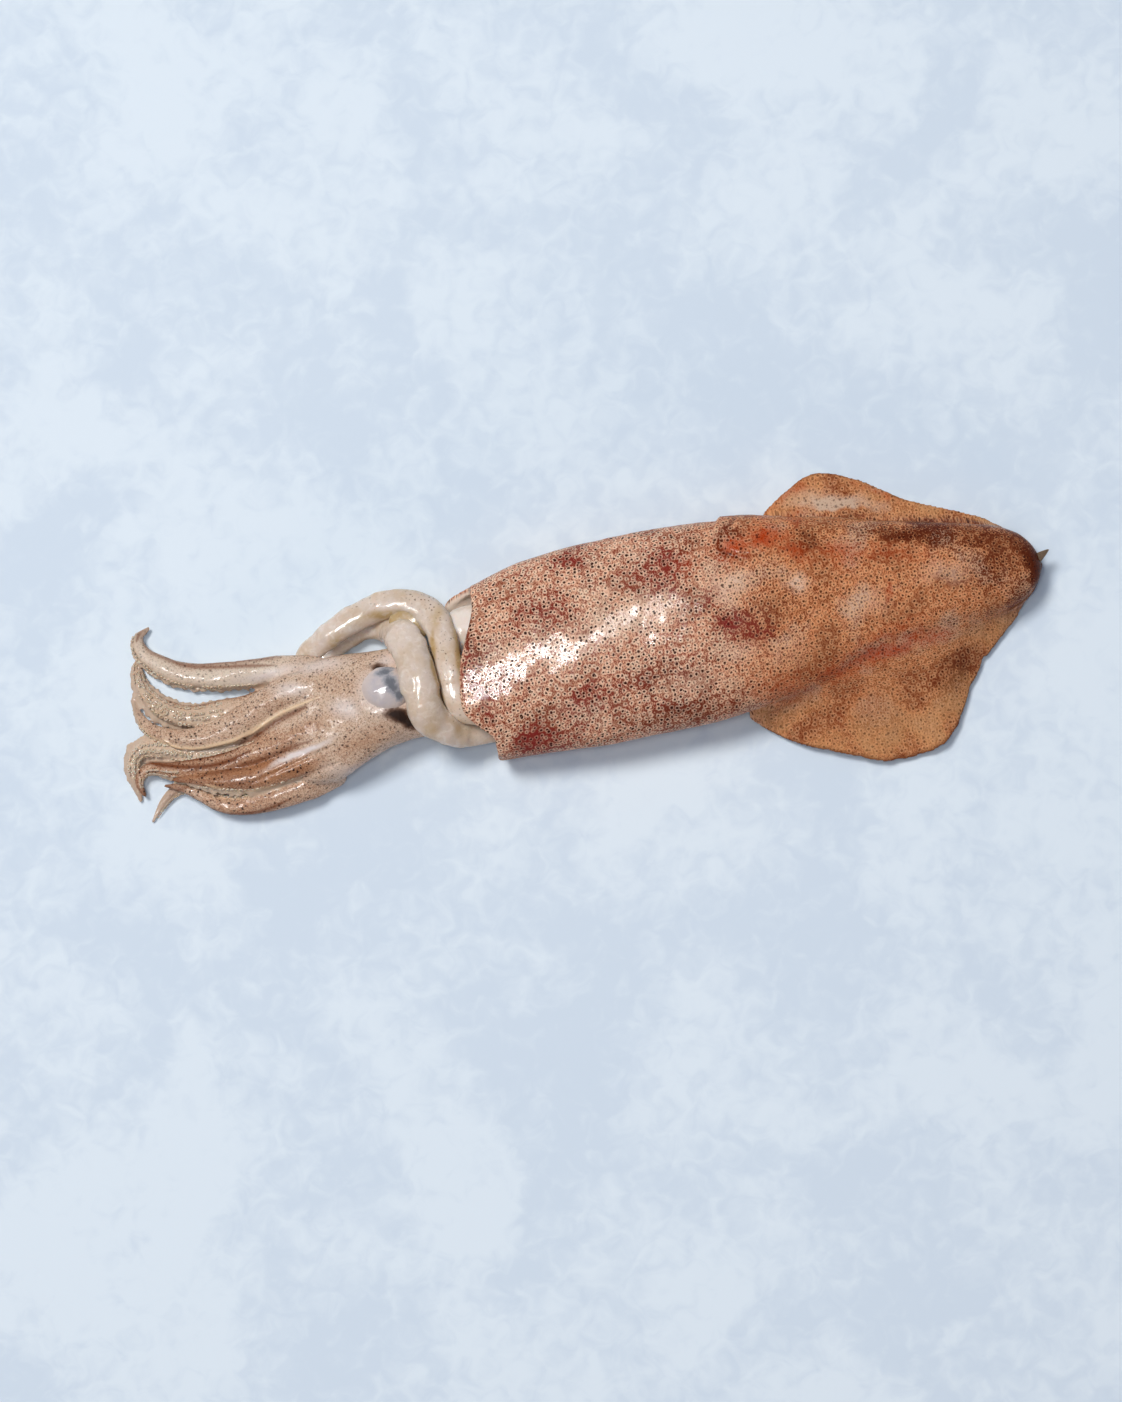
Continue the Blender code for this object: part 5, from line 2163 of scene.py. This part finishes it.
@dataclass(frozen=True)
class MantleFinish(Finish):
    """The pigmented skin of the mantle and fins."""

    name: str = "mantle_skin"
    wetness: Wetness = Wetness(0.27, 0.08, 0.06, scatter=0.06, depth=0.4, rough=0.24)
    ground_front: Shade = (228, 172, 140)
    ground_rear: Shade = (214, 140, 94)
    fleck_front: Shade = (132, 52, 36)
    fleck_rear: Shade = (118, 54, 28)
    red: Shade = (128, 32, 34)
    rust: Shade = (178, 58, 12)
    # Also the colour of the painted shade in the dark mask.
    dark: Shade = (92, 38, 18)
    ash: Shade = (204, 174, 150)
    umber: Shade = (134, 74, 44)
    # Also the colour of the painted sheen in the pale mask.
    pale: Shade = (232, 206, 184)
    halo: Shade = (244, 212, 184)
    halo_rear: Shade = (230, 172, 124)
    fin: Shade = (206, 150, 98)
    belly: Shade = (222, 184, 156)
    lining: Shade = (226, 208, 192)
    spot: Shade = (46, 12, 8)
    spots: Spots = Spots("2D", 1.85, 0.35, 0.64)
    specks: Spots = Spots("2D", 0.95, 0.19, 0.3, (1.0, 0.93, 1.0))
    fleck_size: float = 0.5
    fleck_stretch: Row = (1.25, 0.8, 1.0)

    def paint(self, sheet: Sheet, place: Socket, wet: bpy.types.Node) -> dict[str, Socket]:
        """Flecked ground, blotches, ringed spots, the fins' amber and ribs, and painted sheen and shade from
        the pale and dark masks.

        Args:
            sheet: the material's sheet.
            place: the place on the object in millimetres; not used.
            wet: the placed wet_skin group.

        Returns:
            The colour, the height and the bare share of the coat.
        """
        skin = sheet.value("skin_place", "Vector")
        red, rust, dark, pale = sheet.parts("tint")
        belly, rear, fin, matt = sheet.parts("ground")
        spots = self.spots.on(sheet, skin).outputs
        tone = sheet.noise(skin, 14.0, 3.0)
        strong = sheet.most(sheet.times(red, 1.3), rust, dark)

        cover = sheet.line(red, 0.7, sheet.line(dark, 0.5, 0.42))
        cover = sheet.line(spots["Ring"], -0.5, sheet.line(pale, -0.35, cover))
        stretched = sheet.scaled(skin, self.fleck_stretch)
        flecks = sheet.group(mottle_group(), Place=stretched, Size=self.fleck_size, Cover=cover).outputs[0]
        colour = sheet.layered(
            sheet.mix(rear, self.ground_front, self.ground_rear),
            (sheet.step(tone, 0.5, 0.66, 0.6), self.ash),
            (sheet.step(tone, 0.5, 0.36, 0.6), self.umber),
            (sheet.times(flecks, 0.95), sheet.mix(rear, self.fleck_front, self.fleck_rear)),
        )
        blotch = sheet.step(sheet.noise(skin, 11.0, 4.0, 0.4), 0.5, 0.66)
        bloom = sheet.times(blotch, sheet.less(1.0, rear, clamp=True), 0.5)
        # The pale and dark masks paint sheen along the highlight and shade on the lower near side, the tail
        # rim and the flap's ledge, as well as pigment.
        for mask, shade, least, most in (
            (bloom, self.red, 0.25, 0.9), (pale, self.pale, 0.55, 0.25), (rust, self.rust, 0.55, 0.8),
            (red, self.red, 0.46, 0.82), (dark, self.dark, 0.42, 0.9),
        ):
            share = sheet.times(mask, sheet.line(flecks, most - least, least))
            colour = sheet.mix(share, colour, shade)

        halo = sheet.line(strong, -0.45, sheet.line(rear, -0.2, 0.66), clamp=True)
        amber = sheet.times(sheet.step(fin, 0.1, 0.9, 0.7), sheet.step(tone, 0.35, 0.6))
        streaks = sheet.noise(sheet.scaled(skin, (1.0, 0.1, 1.0)), 0.8)
        shown = sheet.line(fin, -0.35, sheet.line(belly, -0.8, 0.95))
        shown = sheet.times(shown, sheet.line(rear, -0.25, 1.0), clamp=True)
        speck = self.specks.on(sheet, skin).outputs["Spot"]
        colour = sheet.layered(
            colour,
            (sheet.times(spots["Ring"], halo), sheet.mix(rear, self.halo, self.halo_rear)),
            (sheet.times(amber, sheet.line(strong, -0.7, 1.0), clamp=True), self.fin),
            (sheet.times(sheet.step(streaks, 0.55, 0.42), sheet.step(fin, 0.15, 0.6, 0.16)), self.fleck_rear),
            # Pale on the fins, partly painted sparkle on the far fin's root, turns ash.
            (sheet.times(pale, sheet.step(fin, 0.0, 0.2), 0.7), self.ash),
            (sheet.step(fin, 0.955, 0.995, 0.6), self.dark),
            (belly, self.belly),
            (sheet.times(speck, shown, 0.75), self.fleck_rear),
            (sheet.times(spots["Spot"], shown), self.spot),
            (sheet.value("lining"), self.lining),
        )
        height = sheet.line(spots["Spot"], 0.04, sheet.line(flecks, 0.035, wet.outputs["Height"]))
        bare = sheet.times(sheet.line(spots["Spot"], -0.95, 1.0), sheet.line(flecks, -0.45, 1.0))
        return {"colour": colour, "height": height, "bare": sheet.times(bare, sheet.less(1.0, matt))}


@dataclass(frozen=True)
class ArmFinish(Finish):
    """The skin of the head and arms."""

    name: str = "arm_skin"
    wetness: Wetness = Wetness(0.26, 0.12, 0.15, scatter=0.1, relief=1.3, rough=0.32, fineness=3.4)
    pale: Shade = (222, 206, 188)
    pigment: Shade = (202, 158, 124)
    ruddy: Shade = (182, 132, 90)
    cream: Shade = (236, 206, 168)
    brown: Shade = (118, 66, 38)
    oral: Shade = (204, 180, 156)
    milk: Shade = (226, 214, 210)
    black: Shade = (44, 31, 26)
    belly: Shade = (200, 176, 156)
    spot: Shade = (46, 22, 16)
    fleck: Shade = (148, 90, 56)
    speck: Shade = (90, 46, 28)
    lid: Shade = (104, 70, 52)
    spots: Spots = Spots("3D", 1.3, 0.31, 0.56)
    specks: Spots = Spots("3D", 0.66, 0.2, 0.3, (1.0, 1.02, 0.98))
    fleck_size: float = 0.5

    def paint(self, sheet: Sheet, place: Socket, wet: bpy.types.Node) -> dict[str, Socket]:
        """Flecked pigment over pale flesh, the arms' bands, spots, the eye's dark lid, painted sheen on the
        head and painted shade in the first groove.

        Args:
            sheet: the material's sheet.
            place: the place on the object in millimetres.
            wet: the placed wet_skin group.

        Returns:
            The colour, the height and the bare share of the coat.
        """
        pigment, cream, brown, oral = sheet.parts("bands")
        milk, black, ruddy, under = sheet.parts("face")
        tone = sheet.noise(place, 9.0, 3.0)
        colour = sheet.mix(sheet.times(pigment, sheet.line(tone, 0.8, 0.5)), self.pale, self.pigment)
        milky = sheet.times(milk, 0.85)
        clear = sheet.less(1.0, sheet.most(oral, cream, milky), clamp=True)
        dense = sheet.times(clear, sheet.line(pigment, 0.75, 0.4), clamp=True)
        cover = sheet.line(pigment, 0.5, sheet.line(ruddy, 0.5, 0.05))
        mottle = sheet.group(mottle_group(), Place=place, Size=self.fleck_size, Cover=cover).outputs[0]
        flecks = sheet.times(mottle, sheet.times(dense, 0.6))
        shown = sheet.times(self.spots.on(sheet, place).outputs["Spot"], dense)
        speck = self.specks.on(sheet, place).outputs["Spot"]
        torn = sheet.plus(black, sheet.line(sheet.noise(place, 1.4, 3.0), 0.8, -0.45))
        colour = sheet.layered(
            colour,
            (sheet.times(ruddy, 0.75), self.ruddy),
            (flecks, self.fleck),
            (oral, self.oral),
            # milky also paints sheen where wet glints lie on the head.
            (milky, self.milk),
            # brown also holds the painted shade of the first groove.
            (brown, self.brown),
            (sheet.times(cream, 0.9), self.cream),
            (sheet.times(speck, dense, 0.65), self.speck),
            (shown, self.spot),
            (under, self.belly),
            (sheet.step(torn, 0.0, 0.8, 0.9), self.lid),
            (sheet.step(torn, 0.4, 1.2, 0.95), self.black),
        )
        height = sheet.line(shown, 0.05, sheet.line(flecks, 0.04, wet.outputs["Height"]))
        bare = sheet.line(shown, -0.9, sheet.line(milk, -0.5, 1.0), clamp=True)
        return {"colour": colour, "height": height, "bare": bare}


@dataclass(frozen=True)
class PaleFinish(Finish):
    """Smooth pale flesh: the tentacles, the funnel and the film."""

    wetness: Wetness = Wetness(
        0.5, 0.09, scatter=0.6, depth=3.4, scatter_radius=(1.0, 0.7, 0.5), relief=1.1, fineness=3.6
    )
    flesh: Shade = (218, 201, 187)
    yellow: Shade = (188, 158, 112)
    milk: Shade = (238, 229, 222)
    freckle: Shade = (96, 62, 42)
    freckled: float = 1.0
    spots: Spots = Spots("3D", 1.15, 0.22, 0.5)

    def paint(self, sheet: Sheet, place: Socket, wet: bpy.types.Node) -> dict[str, Socket]:
        """Milky veins in yellowish flesh, with freckles, and painted shade that yellows it towards its
        outline.

        Args:
            sheet: the material's sheet.
            place: the place on the object in millimetres.
            wet: the placed wet_skin group; not used.

        Returns:
            The colour.
        """
        veins = sheet.step(sheet.noise(place, 2.6, 3.0, 1.2), 0.45, 0.75, 0.5)
        patches = sheet.step(sheet.noise(place, 7.0, 3.0), 0.42, 0.7, 0.4)
        # The yellow values hold yellow flesh and also painted shade in the gap between the tentacles.
        warm = sheet.plus(sheet.times(sheet.value("yellow"), 0.8), patches, clamp=True)
        warm = sheet.times(warm, sheet.line(veins, -0.6, 1.0))
        # Painted edge shade: the flesh turns yellow towards its outline, where it faces away from the camera.
        thin = sheet.step(sheet.add("LayerWeight", None, Blend=0.5).outputs["Facing"], 0.5, 0.95, 0.35)
        strength = sheet.times(sheet.line(sheet.value("freckles"), 0.7, 0.12), self.freckled)
        colour = sheet.layered(
            sheet.mix(veins, self.flesh, self.milk),
            (sheet.most(warm, thin), self.yellow),
            (sheet.times(self.spots.on(sheet, place).outputs["Spot"], strength), self.freckle),
        )
        return {"colour": colour}


@dataclass(frozen=True)
class SuckerFinish(Finish):
    """The suckers: a pale rim and a darker mouth."""

    name: str = "sucker_flesh"
    wetness: Wetness = Wetness(0.6, 0.08, scatter=0.3, relief=0.5, rough=0.35, fineness=2.0)
    rim: Shade = (222, 206, 186)
    flesh: Shade = (206, 176, 140)
    mouth: Shade = (170, 140, 112)

    def paint(self, sheet: Sheet, place: Socket, wet: bpy.types.Node) -> dict[str, Socket]:
        """Uneven pale flesh that darkens into the mouth."""
        colour = sheet.mix(sheet.step(sheet.noise(place, 5.0), 0.4, 0.7, 0.5), self.rim, self.flesh)
        return {"colour": sheet.mix(sheet.times(sheet.value("mouth"), 0.75), colour, self.mouth)}


@dataclass(frozen=True)
class EyeFinish(Finish):
    """The milky film of the eye over its blurred pupil."""

    name: str = "eye_film"
    wetness: Wetness = Wetness(
        0.6, 0.06, scatter=0.35, depth=1.2, scatter_radius=(0.8, 0.8, 1.0), relief=1.2, rough=0.2,
        fineness=3.4,
    )
    film: Shade = (202, 192, 190)
    cloud: Shade = (186, 180, 190)
    skin: Shade = (208, 192, 184)
    pupil: Shade = (104, 108, 116)
    haze: Shade = (166, 166, 172)

    def paint(self, sheet: Sheet, place: Socket, wet: bpy.types.Node) -> dict[str, Socket]:
        """A clouded film, skin at its rim, and a torn haze round the pupil.

        Args:
            sheet: the material's sheet.
            place: the place on the object in millimetres.
            wet: the placed wet_skin group; not used.

        Returns:
            The colour.
        """
        torn = sheet.line(sheet.noise(place, 1.3, 4.0, 0.8), 1.4, -0.75)
        torn = sheet.plus(sheet.value("pupil"), torn)
        clouds = sheet.step(sheet.noise(place, 3.0, 3.0, 0.6), 0.35, 0.7, 0.5)
        colour = sheet.layered(
            sheet.mix(clouds, self.film, self.cloud),
            (sheet.value("rim"), self.skin),
            (sheet.step(torn, 0.0, 0.7, 0.85), self.haze),
            (sheet.step(torn, 0.45, 1.3, 0.85), self.pupil),
        )
        return {"colour": colour}


@dataclass(frozen=True)
class HornFinish(Finish):
    """The horny end of the pen."""

    name: str = "pen_horn"
    wetness: Wetness = Wetness(0.3, 0.2, scatter=0.0, relief=0.5, rough=0.45)
    horn: Shade = (152, 130, 106)
    edge: Shade = (96, 74, 58)

    def paint(self, sheet: Sheet, place: Socket, wet: bpy.types.Node) -> dict[str, Socket]:
        """Long fine grain, in the colour and in the relief."""
        grain = sheet.noise(sheet.scaled(place, (0.4, 1.6, 1.6)), 0.4, 3.0)
        return {"colour": sheet.mix(grain, self.edge, self.horn), "height": grain}


# ---------------------------------------------------------------- studio


WHITE = (255, 255, 255)


@dataclass(frozen=True)
class Lamp:
    """An area light that faces the squid.

    Its place, width and height are in metres, its power in watts, and its turn about its own axis in degrees.
    A mirrored lamp only shows as glints in wet surfaces, and any other only lights them.
    """

    name: str
    place: Row
    size: tuple[float, float]
    power: float
    shade: Shade = WHITE
    turn: float = 0.0
    mirrored: bool = False

    def hang(self) -> None:
        """Hangs the lamp."""
        lamp = bpy.data.lights.new(self.name, "AREA")
        lamp.shape = "RECTANGLE"
        lamp.size, lamp.size_y = self.size
        lamp.energy = self.power
        lamp.color = linear(self.shade)[:3]
        obj = bpy.data.objects.new(self.name, lamp)
        obj.location = self.place
        facing = (-Vector(self.place)).to_track_quat("-Z", "Y")
        obj.rotation_euler = (facing @ Quaternion((0.0, 0.0, 1.0), math.radians(self.turn))).to_euler()
        obj.visible_glossy, obj.visible_diffuse = self.mirrored, not self.mirrored
        bpy.context.scene.collection.objects.link(obj)


@dataclass
class Studio:
    """The floor, the light and the camera."""

    lamps: tuple[Lamp, ...] = (
        Lamp("key", (-0.98, 1.44, 2.91), (0.92, 0.92), 83.0, (255, 250, 244)),
        Lamp("overhead", (-0.12, 0.03, 1.35), (0.28, 0.16), 3.0, (250, 252, 255)),
        Lamp("fill", (0.15, -1.60, 0.55), (0.60, 0.40), 3.8, (255, 218, 184)),
        Lamp("pane_front", (-0.32, -0.08, 1.35), (0.21, 0.28), 14.0, turn=34.0, mirrored=True),
        Lamp("pane_middle", (-0.145, 0.045, 1.35), (0.13, 0.22), 5.4, turn=34.0, mirrored=True),
        Lamp("pane_rear", (0.0, 0.145, 1.35), (0.20, 0.20), 2.8, turn=34.0, mirrored=True),
        Lamp("front", (-0.72, 0.02, 1.15), (0.22, 0.22), 4.0, mirrored=True),
    )
    floor_shade: Shade = (214, 228, 242)
    floor_light: Shade = (228, 240, 250)
    floor_size: float = 8.0
    camera_height: float = 1.212
    camera_place: Span = (-0.01024, -0.00980)
    camera_turn: float = -10.0
    lens: float = 98.4
    world_shade: Shade = (194, 220, 254)
    world_light: float = 0.185

    def floor(self) -> None:
        """A plain pale floor with the faintest clouding."""
        mesh = bmesh.new()
        bmesh.ops.create_grid(mesh, x_segments=8, y_segments=8, size=self.floor_size / 2)
        data = bpy.data.meshes.new("floor")
        mesh.to_mesh(data)
        mesh.free()
        obj = bpy.data.objects.new("floor", data)
        bpy.context.scene.collection.objects.link(obj)
        material, sheet = new_material("floor")
        place = sheet.millimetres()
        cloud = sheet.noise(place, 60.0, 5.0, 0.6)
        fine = sheet.noise(place, 7.0, 6.0, 0.8)
        cloud = sheet.line(sheet.less(fine, 0.5), 0.5, cloud)
        colour = sheet.mix(sheet.step(cloud, 0.36, 0.64), self.floor_shade, self.floor_light)
        shader = sheet.add("BsdfPrincipled", None, Base_Color=colour, Roughness=0.75)
        shader.inputs["Specular IOR Level"].default_value = 0.2
        sheet.surface(shader)
        data.materials.append(material)

    def world(self) -> None:
        """An even pale surrounding light."""
        world = bpy.data.worlds.new("studio")
        world.use_nodes = True
        background = world.node_tree.nodes["Background"]
        background.inputs["Color"].default_value = linear(self.world_shade)
        background.inputs["Strength"].default_value = self.world_light
        bpy.context.scene.world = world

    def camera(self) -> None:
        """The camera, straight above and turned a little."""
        data = bpy.data.cameras.new("camera")
        data.sensor_fit = "VERTICAL"
        data.sensor_height = 36.0
        data.lens = self.lens
        data.clip_start, data.clip_end = 0.05, 30.0
        obj = bpy.data.objects.new("camera", data)
        obj.location = (*self.camera_place, self.camera_height)
        obj.rotation_euler = (0.0, 0.0, math.radians(self.camera_turn))
        bpy.context.scene.collection.objects.link(obj)
        bpy.context.scene.camera = obj

    def build(self) -> None:
        """Sets up the whole studio."""
        self.floor()
        for lamp in self.lamps:
            lamp.hang()
        self.world()
        self.camera()
        bpy.context.scene.view_settings.view_transform = "Standard"


def main() -> None:
    """Builds, dresses and reports every piece, then sets up the studio."""
    logging.basicConfig(level=logging.INFO, format="%(message)s")
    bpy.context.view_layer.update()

    tentacles = Tentacles()
    routes = tentacles.routes()
    crown = ArmCrown()
    crown.lay(routes)

    mantle = new_object("mantle_and_fins", Mantle().build())
    dress(mantle, MantleFinish().material(), ("squid",))
    arms = new_object("head_and_arms", crown.build())
    dress(arms, ArmFinish().material(), ("squid",))
    suckers = new_object("suckers", crown.suckers())
    dress(suckers, SuckerFinish().material(), ("squid",))

    pale = PaleFinish("tentacle_flesh").material()
    for name, route, seed in (("tentacle_inner", routes[0], 31), ("tentacle_outer", routes[1], 37)):
        dress(new_object(name, tentacles.surface(route, seed)), pale, ("squid",))
    smooth = Pale()
    funnel_flesh = PaleFinish("funnel_flesh", flesh=(232, 220, 212), freckled=0.1).material()
    dress(new_object("funnel", smooth.funnel_surface()), funnel_flesh, ("squid",))
    # A yellow sheet in the gap between the tentacles, partly painted shade.
    dress(new_object("tentacle_gap_shade_film", smooth.film_surface()), pale, ("squid",))

    film = EyeFinish().material()
    upper = Eye((-64.6, 2.0, 17.5), (8.1, 7.6, 5.5), 0.15, Blots(0.8, 201, (
        (-61.6, 3.0, 7.6, 3.6, -74, 1.5), (-60.6, -0.6, 3.0, 2.4, -70, 1.6), (-63.6, 8.0, 4.6, 2.6, 10, 1.4),
    )))
    lower = Eye((-65.0, -2.4, 4.2), (6.6, 6.6, 4.8), 0.15)
    dress(new_object("eye_upper_film", upper.surface()), film, ("eye_upper",))
    dress(new_object("eye_lower_film", lower.surface()), film, ("eye_lower",))
    dress(new_object("pen_blade", PenTip().surface()), HornFinish().material(), ("pen_tip",))

    Studio().build()


if __name__ == "__main__":
    main()
